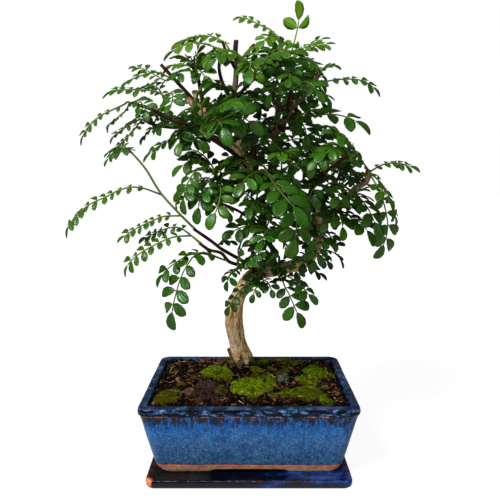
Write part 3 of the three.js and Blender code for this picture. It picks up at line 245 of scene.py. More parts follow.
def bark_finish():
    """Tan bark in fine vertical flakes on the old wood, darker and purple-brown on the twigs."""
    f = Finish("tan_flaky_bark", 0.85, 0.1)
    ridge, age, height, flake = f.tone()
    grain = f.noise(1.6, 6, stretch=(1, 1, 0.22), rough=0.7)
    patch = f.noise(9, 4, stretch=(1, 1, 0.5))
    depth = f.sum(f.times(ridge, 0.55), f.times(grain, 0.6))
    old = f.ramp(f.span(depth, 0.34, 0.74), (0, (84, 50, 26)), (0.2, (200, 146, 92)), (0.5, (255, 208, 150)),
                 (1, (255, 242, 210)))
    old = f.mix(f.span(patch, 0.5, 0.72, 0, 0.35), old, (164, 138, 100))
    young = f.ramp(f.span(grain, 0.3, 0.7), (0, (26, 14, 14)), (0.5, (66, 38, 30)), (1, (112, 78, 54)))
    bark = f.mix(f.span(age, 0.15, 0.85), young, old)
    green = f.times(f.span(height, 0.03, 0.2, 0.95, 0), f.span(patch, 0.36, 0.54, 0.45, 1))
    bark = f.mix(green, bark, (70, 80, 30))
    damp = f.span(f.sum(height, f.span(grain, 0.3, 0.7, -0.03, 0.03)), 0.0, 0.05, 0.8, 0)
    bark = f.mix(damp, bark, (34, 36, 14))
    crack = f.span(f.cells(3.4, "DISTANCE_TO_EDGE", (1, 1, 0.3)), 0.0, 0.09, 1, 0)
    bark = f.mix(f.times(crack, f.span(age, 0.2, 0.9, 0, 0.7)), bark, (54, 38, 26))
    f.feed(Base_Color=bark, Roughness=f.span(grain, 0.3, 0.7, 0.68, 0.92))
    f.bump(grain, 0.5, 0.8)
    return f.bump(f.less(flake, crack), 0.35, 0.6).material


def cut_wood_finish():
    f = Finish("pruned_wood", 0.75, 0.3)
    ring = f.noise(1.5, 3)
    f.feed(Base_Color=f.ramp(ring, (0.3, (150, 92, 44)), (0.6, (206, 146, 84)), (0.8, (120, 76, 46))))
    return f.bump(ring, 0.3).material


def pot_finish():
    """Blue glaze that ran: dark under the rim, brighter in drips below it, speckled down the wall."""
    f = Finish("blue_run_glaze", 0.3, 0.3)
    z, up = f.axis("Z"), f.up()
    drip = f.noise(5.5, 3, stretch=(1, 1, 0.12), rough=0.75)
    fine_drip = f.noise(2.9, 2, stretch=(1, 1, 0.2), rough=0.7)
    wave = f.noise(26, 2)
    speck = f.noise(0.95, 3, rough=0.8)
    run = f.sum(f.span(drip, 0.3, 0.7, -3.2 * MM, 3.2 * MM), f.span(fine_drip, 0.3, 0.7, -2.2 * MM, 2.2 * MM))
    level = f.sum(z, run)

    wall = f.ramp(f.span_mm(level, 9, 72), (0, (54, 102, 144)), (0.4, (36, 98, 156)),
                  (0.6, (6, 106, 178)), (0.7, (0, 112, 194)), (0.77, (0, 92, 166)),
                  (0.83, (26, 34, 48)), (0.9, (52, 50, 54)), (1, (20, 20, 28)))
    cloud = f.noise(9, 5, stretch=(1, 1, 0.6), rough=0.8)
    wall = f.mix(f.span(cloud, 0.48, 0.66, 0, 0.75), wall, (14, 44, 92))
    wall = f.mix(f.span(cloud, 0.46, 0.34, 0, 0.4), wall, (70, 126, 176))
    low_wall = f.span_mm(z, 50, 60, 1, 0)
    mottle = f.noise(2.8, 5, stretch=(1, 1, 0.7), rough=0.85)
    wall = f.mix(f.span(mottle, 0.5, 0.38, 0, 0.65), wall, (8, 30, 76))
    pale = f.times(f.span(mottle, 0.51, 0.66, 0, 0.7), f.span_mm(level, 46, 60, 1, 0.35))
    wall = f.mix(pale, wall, (116, 146, 172))
    dust = f.times(f.span(speck, 0.56, 0.68, 0, 0.7), low_wall)
    wall = f.mix(dust, wall, (156, 174, 184))
    dim = f.times(f.span(fine_drip, 0.46, 0.38, 0, 0.8), f.span_mm(z, 50, 56))
    wall = f.mix(dim, wall, (10, 14, 26))
    bright = f.times(f.span(fine_drip, 0.55, 0.62, 0, 0.9), f.span_mm(z, 54, 57))
    wall = f.mix(bright, wall, (6, 118, 214))
    rust = f.times(f.span(f.noise(3.4, 3), 0.58, 0.68, 0, 0.7), f.span_mm(z, 58, 63))
    wall = f.mix(rust, wall, (86, 56, 48))
    line = f.apart(f.noise(13, 3, warp=1.5), 0.5)
    scratch = f.times(f.span(line, 0.0, 0.006, 0.7, 0), f.span(f.noise(18, 2), 0.52, 0.62))
    wall = f.mix(f.times(scratch, low_wall), wall, (160, 172, 168))
    pit_spot = f.cells(21)
    pit = f.times(f.span(pit_spot, 0.05, 0.085, 0.95, 0), f.span(f.noise(16, 1), 0.52, 0.56))
    wall = f.mix(pit, wall, (30, 24, 30))

    rim = f.ramp(f.noise(3.4, 5, stretch=(0.4, 0.4, 1), rough=0.75), (0.4, (0, 0, 2)),
                 (0.51, (6, 10, 18)), (0.56, (30, 80, 134)), (0.68, (134, 150, 166)))
    rim_top = f.ramp(f.noise(7, 4, stretch=(0.6, 0.6, 1), rough=0.7), (0.3, (8, 12, 22)), (0.5, (32, 52, 84)),
                     (0.68, (90, 114, 146)))
    rim = f.mix(f.span(up, 0.35, 0.85), rim, rim_top)
    glaze = f.mix(f.span_mm(z, 66.6, 67.4), wall, rim)
    bare_rim = f.times(f.span(f.apart(z, 67.4 * MM), 0.45 * MM, 0.9 * MM, 1, 0),
                      f.span(f.noise(11, 4, rough=0.8), 0.5, 0.58))
    clay = f.ramp(f.noise(6, 4), (0.3, (214, 104, 64)), (0.55, (255, 156, 108)), (0.75, (255, 206, 166)))
    pale_clay = f.ramp(f.noise(4, 4), (0.35, (206, 168, 116)), (0.55, (255, 236, 196)),
                       (0.7, (236, 226, 160)))
    foot = f.sum(z, f.span(wave, 0.3, 0.7, -1.3 * MM, 1.3 * MM))
    clay = f.mix(f.span_mm(foot, 8.0, 10.2, 0.9, 0), clay, pale_clay)
    glaze = f.mix(f.times(bare_rim, 0.85), glaze, clay)
    edge = f.sum(z, f.span(wave, 0.3, 0.7, -0.8 * MM, 0.8 * MM))
    bare = f.span_mm(edge, 13.0, 13.7, 1, 0)
    colour = f.mix(bare, glaze, clay)
    rough = f.most(bare, bare_rim)
    gloss = f.sum(f.span(speck, 0.4, 0.7, 0.2, 0.36), f.times(rough, 0.5))
    f.feed(Base_Color=colour, Roughness=gloss)
    f.bump(f.noise(0.8, 3, rough=0.7), 0.12, 0.45)
    f.bump(drip, 0.5, 0.4)
    return f.bump(f.less(1.0, f.most(rough, pit)), 0.3, 0.8).material


def saucer_finish():
    """Near-black glaze, blue where it is thin, worn to the clay along the lip and at one corner."""
    f = Finish("navy_gloss_glaze", 0.12, 0.6)
    x, z = f.axis("X"), f.axis("Z")
    mottle = f.noise(10, 5, stretch=(0.5, 1, 1), rough=0.75)
    side = f.span_mm(x, -60, 90, -0.12, 0.1)
    thin = f.sum(mottle, side)
    colour = f.ramp(thin, (0.42, (4, 6, 18)), (0.51, (6, 16, 46)), (0.6, (10, 46, 112)),
                    (0.74, (36, 84, 160)))
    lip = f.span(f.apart(z, 7.7 * MM), 0.25 * MM, 0.5 * MM, 1, 0)
    worn = f.times(lip, f.span(f.noise(3.2, 4, stretch=(0.5, 1, 1), rough=0.8), 0.52, 0.66, 0, 0.8))
    colour = f.mix(worn, colour, (132, 74, 40))
    chip = chip_mask(f)
    colour = f.mix(chip, colour, f.ramp(f.noise(1.2, 3), (0.3, (186, 96, 58)), (0.7, (234, 148, 100))))
    bare = f.most(worn, chip)
    f.feed(Base_Color=colour, Roughness=f.sum(f.span(mottle, 0.4, 0.7, 0.08, 0.24), f.times(bare, 0.5)))
    f.bump(mottle, 0.35, 0.4)
    return f.bump(f.less(1.0, bare), 0.3, 0.7).material


# The chipped corner: its middle and its reach.
CHIP_SPOT = (-90.5, -72.5, 5.6)
CHIP_REACH = 4.2


def chip_mask(f):
    """Where the saucer's front left corner has lost its glaze."""
    corner = f.node("ShaderNodeCombineXYZ", {k: c * MM for k, c in enumerate(CHIP_SPOT)}).outputs[0]
    far = f.node("ShaderNodeVectorMath", {0: f.place, 1: corner}, operation="DISTANCE").outputs["Value"]
    ragged = f.sum(far, f.span(f.noise(2.2, 3), 0.3, 0.7, -0.9 * MM, 0.9 * MM))
    return f.span_mm(ragged, CHIP_REACH, CHIP_REACH + 0.5, 1, 0)


def soil_finish(name, colours, roughness=0.92):
    f = Finish(name, roughness, 0.04)
    own = f.tone()[0]
    grain = f.noise(1.6, 5, rough=0.75)
    depth = f.sum(f.times(grain, 0.6), f.times(own, 0.4))
    stops = [(0.25 + 0.5 * k / (len(colours) - 1), c) for k, c in enumerate(colours)]
    f.feed(Base_Color=f.ramp(depth, *stops))
    return f.bump(grain, 0.5, 0.8).material


def moss_finish(name, yellow, green, deep):
    f = Finish(name, 0.8, 0.05)
    own, fresh, long, _ = f.tone()
    patch = f.noise(6, 4)
    colour = f.mix(f.span(f.sum(patch, f.times(own, 0.3)), 0.5, 0.85), green, yellow)
    colour = f.mix(f.span(fresh, 0.55, 1, 0.65, 0), colour, deep)
    colour = f.mix(f.span(own, 0.0, 0.25, 0.5, 0), colour, deep)
    colour = f.mix(f.span(long, 0.1, 0.75, 0.85, 0), colour, deep)
    colour = f.mix(f.span(f.noise(5.5, 3, rough=0.7), 0.5, 0.4, 0, 0.75), colour, deep)
    colour = f.mix(f.span(fresh, 0.4, 0.62, 0.75, 0), colour, f.mix(long, deep, (150, 128, 8)))
    f.feed(Base_Color=colour)
    return f.bump(f.noise(0.5, 3), 0.3).material


def stone_finish(name, grain_size, *colours):
    f = Finish(name, 0.85, 0.12)
    grain = f.noise(grain_size, 8, rough=0.75)
    stops = [(0.32 + 0.36 * k / (len(colours) - 1), c) for k, c in enumerate(colours)]
    colour = f.ramp(grain, *stops)
    dust = f.times(f.span(f.up(), 0.3, 0.9), f.span(f.noise(2.4, 4), 0.45, 0.65, 0, 0.2))
    f.feed(Base_Color=f.mix(dust, colour, colours[-1]))
    f.bump(f.noise(1.1, 5, rough=0.7), 0.3)
    return f.bump(grain, 0.8, 0.7).material


def mesh_finish():
    """The drain meshes' dark moulded plastic, a little chalky."""
    f = Finish("drain_mesh_plastic", 0.55, 0.4)
    chalk = f.noise(2.5, 4)
    f.feed(Base_Color=f.ramp(chalk, (0.35, (26, 30, 28)), (0.7, (74, 78, 70))))
    return f.bump(chalk, 0.15).material


LEAF_TOP = leaf_finish("leaf_upper_side", (0, 36, 1), (13, 78, 4), (96, 142, 10), (46, 104, 22), 0.27, 0.36)
LEAF_UNDER = leaf_finish("leaf_under_side", (26, 76, 10), (52, 106, 22), (110, 152, 26), (78, 126, 38),
                         0.58, 0.15)
RIB_SKIN = rib_finish()
BARK = bark_finish()
CUT_WOOD = cut_wood_finish()
POT_GLAZE = pot_finish()
SAUCER_GLAZE = saucer_finish()
MESH_PLASTIC = mesh_finish()
SOIL = soil_finish("dark_soil", [(5, 3, 2), (12, 8, 6), (28, 19, 13)])
CRUMB = soil_finish("soil_crumbs", [(6, 4, 3), (20, 13, 9), (48, 34, 24), (92, 70, 50)])
CHIP = soil_finish("bark_chips", [(18, 10, 8), (56, 34, 24), (100, 70, 48), (146, 118, 88)])
FIBRE = soil_finish("dry_fibre", [(96, 66, 38), (160, 124, 78), (214, 188, 140)], 0.8)
MOSS_BED = moss_finish("moss_bed", (50, 70, 6), (18, 36, 4), (8, 13, 6))
MOSS_TUFT = moss_finish("moss_tufts", (214, 240, 20), (92, 160, 6), (18, 30, 10))
STONES_BY_NAME = {
    "stone_grey": stone_finish("grey_stone", 4, (24, 32, 28), (58, 70, 62), (120, 128, 116)),
    "stone_purple": stone_finish("purple_grey_stone", 2.6, (12, 5, 5), (46, 28, 27), (94, 68, 66)),
    "stone_brown": stone_finish("brown_stone", 4, (30, 18, 15), (78, 55, 45), (140, 110, 94)),
}
# The wood: each limb's radius at both ends and its centreline, in millimetres.
WOOD = {
    "trunk": (10.5, 5.4, [(-5, 37, 62), (-6, 37, 80), (-11, 35, 97), (-16, 30, 123), (-15, 27, 140),
        (-12, 24, 153), (-5, 22, 166), (3, 20, 176), (13, 18, 182), (27, 16, 184), (42, 15, 188),
        (55, 14, 193), (68, 12, 207)]),
    "leader": (5.4, 3.3, [(66, 12, 204), (71, 11, 226), (68, 10, 242), (59, 12, 255), (43, 12, 265),
        (23, 10, 271), (7, 6, 278), (-3, 2, 290), (-13, -2, 305), (-29, -6, 321), (-46, -10, 341)]),
    "leaderLeftStub": (3.3, 2.8, [(-43, -9, 338), (-51, -12, 344), (-57, -14, 350)]),
    "leaderRightStub": (2.6, 2.1, [(-44, -9, 339), (-49, -9, 347), (-50, -8, 356)]),
    "mast": (3.6, 2.2, [(-3, 2, 290), (-10, 6, 314), (-16, 6, 344), (-13, 4, 367), (-12, 2, 383),
        (-13, 0, 395), (-12, 0, 405)]),
    "mastStub": (1.7, 1.3, [(-12, 2, 380), (-20, 0, 391), (-25, -2, 404)]),
    "topRight": (3.2, 2, [(23, 10, 271), (25, 8, 297), (26, 4, 322), (33, 0, 332), (44, -4, 346),
        (55, -8, 358), (66, -10, 374)]),
    "topLimb": (3.2, 1.5, [(26, 4, 320), (28, 10, 338), (29, 12, 355), (37, 10, 375), (33, 8, 392),
        (29, 8, 407)]),
    "redTwig": (1.9, 1.6, [(29, 2, 326), (38, -6, 324), (42, -14, 332), (43, -18, 342)]),
    "frontStub": (2.6, 2.3, [(7, 6, 278), (6, -10, 290), (5, -22, 296), (3, -30, 309)]),
    "rightLimb": (3.8, 2.6, [(70, 10, 228), (85, 4, 245), (95, 0, 257), (101, -4, 266), (112, -6, 274),
        (114, -6, 285)]),
    "rightTwig": (1.7, 1.4, [(95, 0, 257), (90, -6, 264), (86, -10, 272)]),
    "midStub": (2.6, 1.9, [(59, 12, 255), (62, 6, 270), (63, 2, 287), (63, 0, 311)]),
    "midStubSide": (1.5, 1.3, [(63, 2, 287), (66, -2, 295), (69, -4, 305)]),
    "lowTwigUpper": (2, 1.4, [(9, 17, 181), (-6, 4, 195), (-17, -6, 203), (-27, -14, 210), (-36, -19, 218),
        (-52, -24, 230)]),
    "lowTwigUnder": (2, 1.4, [(14, 16, 181), (-1, 2, 190), (-18, -16, 197), (-26, -24, 207), (-37, -30, 211),
        (-46, -34, 218)]),
    "innerTwig": (2.2, 1.2, [(28, 15, 184), (22, 8, 211), (18, 4, 221), (14, 0, 244)]),
    "leftLimb": (2.6, 1.5, [(-29, -6, 321), (-51, -10, 324), (-70, -12, 330), (-92, -14, 341),
        (-107, -14, 345)]),
    "leftTwig": (1.8, 1.3, [(-56, -10, 325), (-74, 0, 325), (-92, 4, 328), (-101, 6, 332)]),
    "leftStubHigh": (2, 1.6, [(-44, -9, 339), (-57, -2, 355), (-68, 0, 367), (-83, 0, 383)]),
    "leftStubBack": (2, 1.6, [(-40, -8, 334), (-46, 10, 357), (-51, 14, 378), (-59, 16, 388)]),
    "mastSideStub": (1.9, 1.5, [(-16, 6, 352), (-24, 14, 364), (-29, 16, 381), (-28, 18, 394)]),
    "tanStub": (2.8, 2.4, [(7, 6, 278), (-9, 0, 274), (-20, -6, 273), (-32, -10, 277)]),
    "frontLimb": (2.6, 1.5, [(43, 12, 265), (28, -15, 277), (14, -50, 284)]),
    "frontLeftLimb": (2.2, 1.3, [(-5, 1, 293), (-15, -25, 300), (-28, -52, 308), (-36, -70, 312)]),
    "frontRightLimb": (2.2, 1.3, [(62, 6, 270), (70, -22, 282), (80, -48, 292), (86, -62, 296)]),
    "frontTopLimb": (2, 1.2, [(-16, 6, 346), (-6, -20, 356), (6, -42, 364)]),
    "frontHighLimb": (1.9, 1.2, [(34, 0, 334), (36, -24, 346), (38, -46, 354)]),
    "backLimb": (2.8, 1.3, [(23, 10, 271), (25, 40, 290), (22, 70, 310), (18, 92, 322)]),
    "backLeftLimb": (2.6, 1.3, [(-13, -2, 305), (-35, 30, 318), (-58, 56, 328), (-76, 74, 334)]),
    "backRightLimb": (2.8, 1.3, [(68, 10, 242), (82, 38, 262), (98, 60, 280), (112, 72, 290)]),
    "backTopLimb": (2.2, 1.2, [(28, 10, 338), (30, 38, 358), (34, 60, 376)]),
    "backLowLimb": (2.2, 1.2, [(71, 11, 226), (60, 40, 236), (46, 66, 242), (34, 84, 240)]),
    "backLowLeftLimb": (1.8, 1.2, [(18, 4, 221), (-5, 25, 240), (-28, 42, 250), (-48, 54, 255)]),
    "deadStub": (3, 2, [(-10, 37, 76), (-18, 36, 86), (-22, 36, 96)]),
    "rootRight": (5, 1.6, [(-8, 36, 88), (5, 31, 82), (16, 26, 72)]),
    "rootFront": (5, 2, [(-8, 36, 86), (-10, 22, 80), (-12, 12, 70)]),
    "rootLeft": (5, 2, [(-7, 37, 85), (-20, 33, 80), (-31, 28, 70)]),
}

# The sprays seen from the front: name, stem, and each frond's pairs, leaflet length, turn and rib.
SPRAYS = [
    ("left_tip", [(-104, -14, 344), (-112, -15, 347)], [
        (6, 10, 0, [(-111, -15, 347), (-116, -16, 344), (-124, -18, 340), (-134, -20, 335), (-143, -22, 328),
            (-150, -24, 319), (-155, -25, 307)]),
        (5, 9, 0, [(-111, -15, 347), (-117, -3, 340), (-127, 4, 334), (-135, 8, 329), (-141, 10, 322)]),
        (5, 11, 0, [(-111, -15, 347), (-99, -30, 346), (-91, -44, 337), (-89, -52, 326)]),
    ]),
    ("left_upper", [(-83, -13, 336), (-80, -16, 344), (-77, -16, 353)], [
        (6, 11, 0, [(-77, -16, 352), (-86, -18, 356), (-105, -20, 357), (-123, -22, 356), (-134, -23, 350)]),
        (5, 12, 0, [(-77, -17, 352), (-69, -32, 352), (-67, -46, 343), (-72, -54, 331)]),
        (6, 11, 0, [(-77, -14, 351), (-87, 0, 362), (-100, 14, 366), (-114, 24, 362)]),
    ]),
    ("left_stub", [(-68, 0, 367), (-72, -8, 369)], [
        (5, 10, 0, [(-72, -6, 371), (-84, -10, 374), (-93, -11, 373), (-104, -14, 369), (-113, -16, 364),
            (-118, -17, 358)]),
        (6, 9, 0, [(-72, -6, 371), (-80, 2, 369), (-95, 12, 378), (-106, 16, 383), (-118, 18, 382)]),
        (4, 11, 0, [(-72, -7, 370), (-66, -18, 373), (-62, -28, 370), (-61, -37, 361)]),
    ]),
    ("mast_left", [(-13, 0, 393), (-19, 0, 396)], [
        (5, 14, 0, [(-17, 0, 395), (-30, -6, 397), (-43, -10, 400), (-54, -14, 399), (-67, -17, 393),
            (-78, -19, 384)]),
        (6, 13, 0, [(-17, 0, 395), (-23, 6, 404), (-35, 10, 411), (-50, 13, 412), (-64, 15, 408),
            (-75, 16, 400)]),
        (4, 12, 0, [(-18, 0, 395), (-25, -16, 392), (-33, -28, 384), (-40, -34, 373)]),
    ]),
    ("left_rise", [(-51, 14, 378), (-51, 12, 383)], [
        (3, 13, 0, [(-51, 12, 382), (-50, 8, 391), (-48, 2, 400), (-50, -6, 405)]),
        (4, 12, 0, [(-51, 12, 381), (-62, 24, 387), (-75, 33, 389), (-88, 39, 383)]),
        (5, 12, 0, [(-51, 12, 381), (-46, 28, 390), (-42, 42, 394), (-43, 56, 389)]),
        (3, 13, 0, [(-51, 11, 383), (-58, 4, 389), (-65, 0, 390), (-73, -4, 385)]),
        (4, 13, 0, [(-51, 10, 382), (-45, -4, 376), (-40, -10, 369), (-36, -14, 361)]),
        (3, 12, 0, [(-51, 11, 383), (-44, 4, 389), (-38, 0, 393), (-31, -4, 396)]),
    ]),
    ("left_twig", [(-97, 5, 331), (-106, 8, 334)], [
        (4, 9, 0, [(-105, 8, 334), (-110, 5, 331), (-117, 2, 326), (-127, 0, 319), (-135, -1, 311)]),
        (7, 9, 0, [(-104, 7, 333), (-105, -3, 328), (-109, -8, 321), (-116, -9, 314), (-124, -9, 306),
            (-133, -9, 294)]),
        (4, 10, 0, [(-105, 8, 334), (-111, 20, 336), (-120, 30, 332), (-132, 37, 323)]),
    ]),
    ("left_hang", [(-59, -11, 326), (-62, -16, 324)], [
        (4, 14, 0, [(-62, -15, 324), (-63, -28, 319), (-62, -37, 309), (-63, -41, 295)]),
        (5, 12, 0, [(-62, -14, 323), (-72, -14, 313), (-85, -16, 306), (-100, -18, 293)]),
        (3, 14, 0, [(-62, -15, 324), (-70, -26, 326), (-77, -36, 322), (-82, -42, 312)]),
        (4, 15, 0, [(-62, -15, 325), (-52, -26, 316), (-45, -31, 309), (-39, -34, 299)]),
        (4, 14, 0, [(-62, -15, 323), (-57, -10, 316), (-48, -2, 314), (-41, 4, 305)]),
    ]),
    ("long_shoot", [(-50, -23, 229), (-64, -28, 244), (-81, -32, 264), (-93, -36, 285), (-106, -38, 301)], [
        (10, 11, 0, [(-80, -32, 262), (-96, -34, 268), (-106, -36, 269), (-118, -38, 266), (-129, -40, 260),
            (-141, -42, 255), (-150, -44, 248), (-159, -46, 238), (-167, -48, 225)]),
        (7, 10, 0, [(-63, -28, 242), (-79, -31, 242), (-89, -33, 238), (-100, -35, 233), (-110, -37, 227),
            (-120, -38, 218)]),
        (4, 8, 0, [(-105, -38, 300), (-114, -41, 301), (-122, -43, 298), (-128, -44, 287)]),
        (4, 8, 0, [(-105, -38, 300), (-106, -47, 303), (-109, -56, 301), (-114, -63, 293)]),
        (5, 8, 0, [(-105, -37, 300), (-115, -27, 306), (-126, -18, 304), (-136, -12, 297)]),
        (3, 9, 0, [(-67, -29, 248), (-67, -31, 255), (-63, -33, 263), (-56, -35, 267)]),
    ]),
    ("low_left", [(-44, -33, 217), (-54, -37, 226)], [
        (6, 10, 0, [(-53, -37, 226), (-64, -34, 232), (-76, -32, 231), (-90, -30, 225), (-103, -29, 217)]),
        (7, 11, 0, [(-52, -37, 225), (-63, -43, 225), (-70, -46, 224), (-80, -49, 220), (-95, -52, 212),
            (-104, -54, 205), (-109, -55, 198), (-111, -56, 190)]),
    ]),
    ("front_low_left", [(-20, -18, 199), (-26, -28, 202)], [
        (6, 17, 0, [(-25, -27, 202), (-40, -42, 210), (-48, -50, 209), (-54, -55, 202), (-59, -58, 193),
            (-63, -61, 181), (-67, -63, 165), (-70, -64, 143)]),
        (5, 13, 0, [(-25, -26, 202), (-36, -32, 206), (-50, -37, 209), (-63, -41, 203), (-76, -44, 193),
            (-84, -46, 179)]),
    ]),
    ("low_twig_leaves", [(-6, -3, 192), (-12, -15, 190)], [
        (3, 10, 0, [(-11, -14, 190), (-17, -22, 188), (-20, -25, 181), (-22, -27, 171)]),
        (4, 10, 0, [(-11, -14, 190), (-3, -28, 201), (3, -38, 201), (5, -43, 194)]),
        (4, 11, 0, [(-12, -14, 191), (-10, -26, 205), (-6, -33, 214), (1, -38, 218)]),
        (4, 11, 0, [(-12, -14, 190), (-4, -28, 199), (4, -36, 204), (12, -41, 201)]),
    ]),
    ("trunk_front", [(13, 18, 183), (11, 4, 182), (8, -4, 179)], [
        (5, 10, 0, [(9, -2, 179), (-3, -13, 174), (-13, -18, 164), (-24, -21, 146)]),
        (4, 9, 0, [(9, -2, 179), (9, -16, 177), (5, -24, 170), (2, -28, 160)]),
        (4, 9, 0, [(9, -2, 179), (17, -14, 178), (21, -20, 172), (22, -23, 163)]),
        (4, 11, 0, [(9, -5, 181), (14, -20, 194), (21, -28, 202), (28, -32, 204)]),
        (4, 12, 0, [(8, -4, 180), (8, -14, 194), (9, -20, 207), (13, -24, 219)]),
    ]),
    ("low_right", [(32, 16, 185), (32, 4, 182)], [
        (4, 16, 0, [(32, 5, 182), (34, -8, 174), (38, -16, 167), (43, -21, 156), (52, -24, 135)]),
        (4, 13, 0, [(32, 5, 183), (41, -6, 180), (51, -12, 173), (57, -16, 166), (64, -18, 155)]),
        (4, 13, 0, [(32, 2, 184), (41, -10, 194), (49, -16, 198), (58, -20, 194)]),
        (4, 12, 0, [(32, 4, 183), (26, -4, 198), (21, -8, 208), (16, -10, 218)]),
    ]),
    ("front_centre", [(15, -47, 283), (15, -58, 283)], [
        (4, 20, 0, [(14, -55, 283), (22, -82, 271), (30, -94, 261), (38, -101, 251), (45, -105, 238)]),
        (4, 18, 0, [(14, -56, 283), (29, -66, 269), (38, -73, 254), (40, -77, 237), (36, -80, 209)]),
        (3, 15, 0, [(14, -54, 283), (3, -72, 281), (-5, -84, 273), (-9, -90, 261)]),
    ]),
    ("right_hang", [(71, 9, 228), (69, -2, 226)], [
        (5, 12, 0, [(70, 0, 227), (68, -16, 222), (65, -24, 212), (62, -27, 203), (59, -29, 189)]),
        (3, 11, 0, [(70, 0, 226), (76, -10, 224), (80, -16, 217), (81, -19, 207)]),
    ]),
    ("right_low", [(87, 3, 248), (87, -4, 246)], [
        (4, 16, 0, [(88, -2, 246), (95, -19, 242), (104, -31, 235), (117, -39, 217)]),
        (4, 13, 0, [(87, -3, 246), (86, -20, 241), (87, -29, 231), (88, -33, 220)]),
        (4, 13, 0, [(86, -5, 247), (78, -18, 243), (72, -26, 236), (69, -31, 226)]),
        (4, 14, 0, [(86, -4, 247), (90, -22, 253), (95, -30, 252), (101, -36, 245)]),
    ]),
    ("right_front", [(101, -4, 266), (100, -14, 263)], [
        (4, 17, 0, [(100, -13, 263), (104, -27, 257), (108, -36, 250), (112, -42, 240), (117, -47, 222)]),
        (4, 14, 0, [(100, -12, 263), (89, -32, 266), (80, -45, 261), (75, -52, 249)]),
        (4, 14, 0, [(100, -12, 263), (110, -32, 269), (120, -43, 265), (128, -52, 250)]),
    ]),
    ("right_tip", [(113, -6, 279), (116, -8, 284)], [
        (5, 11, 0, [(116, -7, 283), (125, -8, 289), (134, -9, 291), (142, -10, 291), (151, -11, 288),
            (161, -12, 282)]),
        (6, 10, 0, [(116, -8, 283), (107, -15, 291), (100, -24, 297), (89, -31, 299), (77, -34, 297),
            (67, -35, 292)]),
        (5, 12, 0, [(116, -7, 282), (128, -3, 271), (139, 0, 252), (146, 2, 228)]),
        (5, 16, 0, [(116, -8, 282), (121, -17, 268), (127, -20, 251), (130, -22, 228), (121, -24, 200)]),
    ]),
    ("top_right", [(57, -8, 361), (60, -9, 361)], [
        (6, 11, 0, [(59, -9, 361), (66, -11, 363), (74, -13, 366), (87, -16, 367), (101, -18, 366),
            (111, -19, 361), (122, -20, 353)]),
        (4, 10, 0, [(59, -9, 361), (63, -22, 354), (69, -32, 350), (73, -38, 340)]),
    ]),
    ("top_right_tuft", [(64, -10, 372), (67, -11, 375)], [
        (3, 9, 0, [(66, -11, 374), (71, -14, 379), (78, -16, 379), (84, -17, 375)]),
        (3, 11, 0, [(66, -11, 374), (60, -20, 379), (52, -28, 380), (44, -33, 376)]),
        (4, 11, 0, [(67, -9, 375), (61, 4, 387), (54, 12, 392), (46, 18, 392)]),
    ]),
    ("right_mid", [(42, -14, 332), (46, -17, 333)], [
        (3, 18, 0, [(45, -17, 333), (58, -25, 333), (74, -31, 334), (90, -35, 330), (110, -38, 318)]),
        (4, 13, 0, [(46, -16, 333), (55, -11, 339), (66, -7, 341), (78, -4, 336)]),
        (4, 15, 0, [(45, -17, 333), (48, -32, 326), (51, -42, 314), (50, -47, 302)]),
    ]),
    ("mid_right", [(63, 0, 304), (64, -3, 308)], [
        (5, 14, 0, [(63, -2, 307), (70, -6, 316), (81, -8, 319), (92, -6, 312), (101, -2, 303),
            (108, 2, 291)]),
        (4, 14, 0, [(63, -3, 306), (59, -20, 310), (58, -32, 306), (59, -40, 295)]),
        (4, 14, 0, [(64, -4, 308), (55, -16, 314), (47, -24, 316), (39, -30, 312)]),
        (4, 14, 0, [(64, -2, 308), (71, 10, 320), (81, 18, 325), (92, 23, 321)]),
        (4, 15, 0, [(64, -3, 306), (54, -14, 300), (45, -20, 291), (38, -22, 279)]),
        (4, 14, 0, [(64, -3, 306), (65, -16, 298), (60, -26, 288), (52, -31, 277)]),
    ]),
    ("crown_left", [(29, 8, 404), (28, 7, 410)], [
        (5, 9, 0, [(28, 7, 409), (20, 6, 416), (12, 4, 419), (3, 3, 423), (-6, 2, 426), (-15, 1, 424)]),
        (4, 10, 0, [(28, 6, 408), (22, -8, 407), (15, -18, 402), (8, -24, 393)]),
        (4, 10, 0, [(28, 8, 408), (27, 20, 414), (26, 33, 413), (25, 42, 405)]),
    ]),
    ("crown_shoot", [(37, 10, 379), (38, 10, 390)], [
        (2, 17, 90, [(38, 10, 389), (42, 9, 402), (45, 8, 414), (47, 8, 428), (44, 7, 442)]),
        (5, 9, 0, [(38, 10, 388), (47, 6, 397), (59, 4, 402), (67, 2, 406), (76, 1, 409)]),
        (6, 10, 0, [(38, 11, 388), (50, 18, 398), (66, 23, 405), (85, 26, 408)]),
    ]),
    ("mast_right", [(-12, 1, 386), (-6, 0, 390)], [
        (4, 12, 0, [(-6, 0, 390), (0, -8, 395), (8, -13, 396), (20, -16, 389)]),
        (4, 12, 0, [(-6, 0, 390), (-1, 14, 395), (9, 23, 397), (20, 29, 392)]),
        (4, 13, 0, [(-6, -1, 390), (1, -16, 379), (7, -23, 371), (14, -27, 362)]),
    ]),
    ("mast_mid", [(-15, 6, 356), (-14, 0, 358)], [
        (3, 12, 0, [(-14, 0, 358), (-25, -1, 363), (-35, 0, 366), (-45, 2, 364)]),
        (4, 13, 0, [(-14, 1, 357), (-5, -8, 366), (5, -15, 367), (15, -19, 361)]),
        (4, 13, 0, [(-14, 1, 357), (-24, -14, 361), (-32, -24, 362), (-40, -30, 355)]),
        (4, 14, 0, [(-14, 0, 357), (-12, -20, 350), (-10, -34, 340), (-10, -41, 327)]),
        (4, 14, 0, [(-14, 0, 357), (-6, -8, 353), (1, -17, 346), (9, -27, 337)]),
        (4, 14, 0, [(-14, 1, 358), (-22, -12, 349), (-31, -18, 342), (-40, -22, 336)]),
        (4, 16, 0, [(-14, 0, 357), (-20, -26, 345), (-23, -44, 330), (-24, -52, 312)]),
    ]),
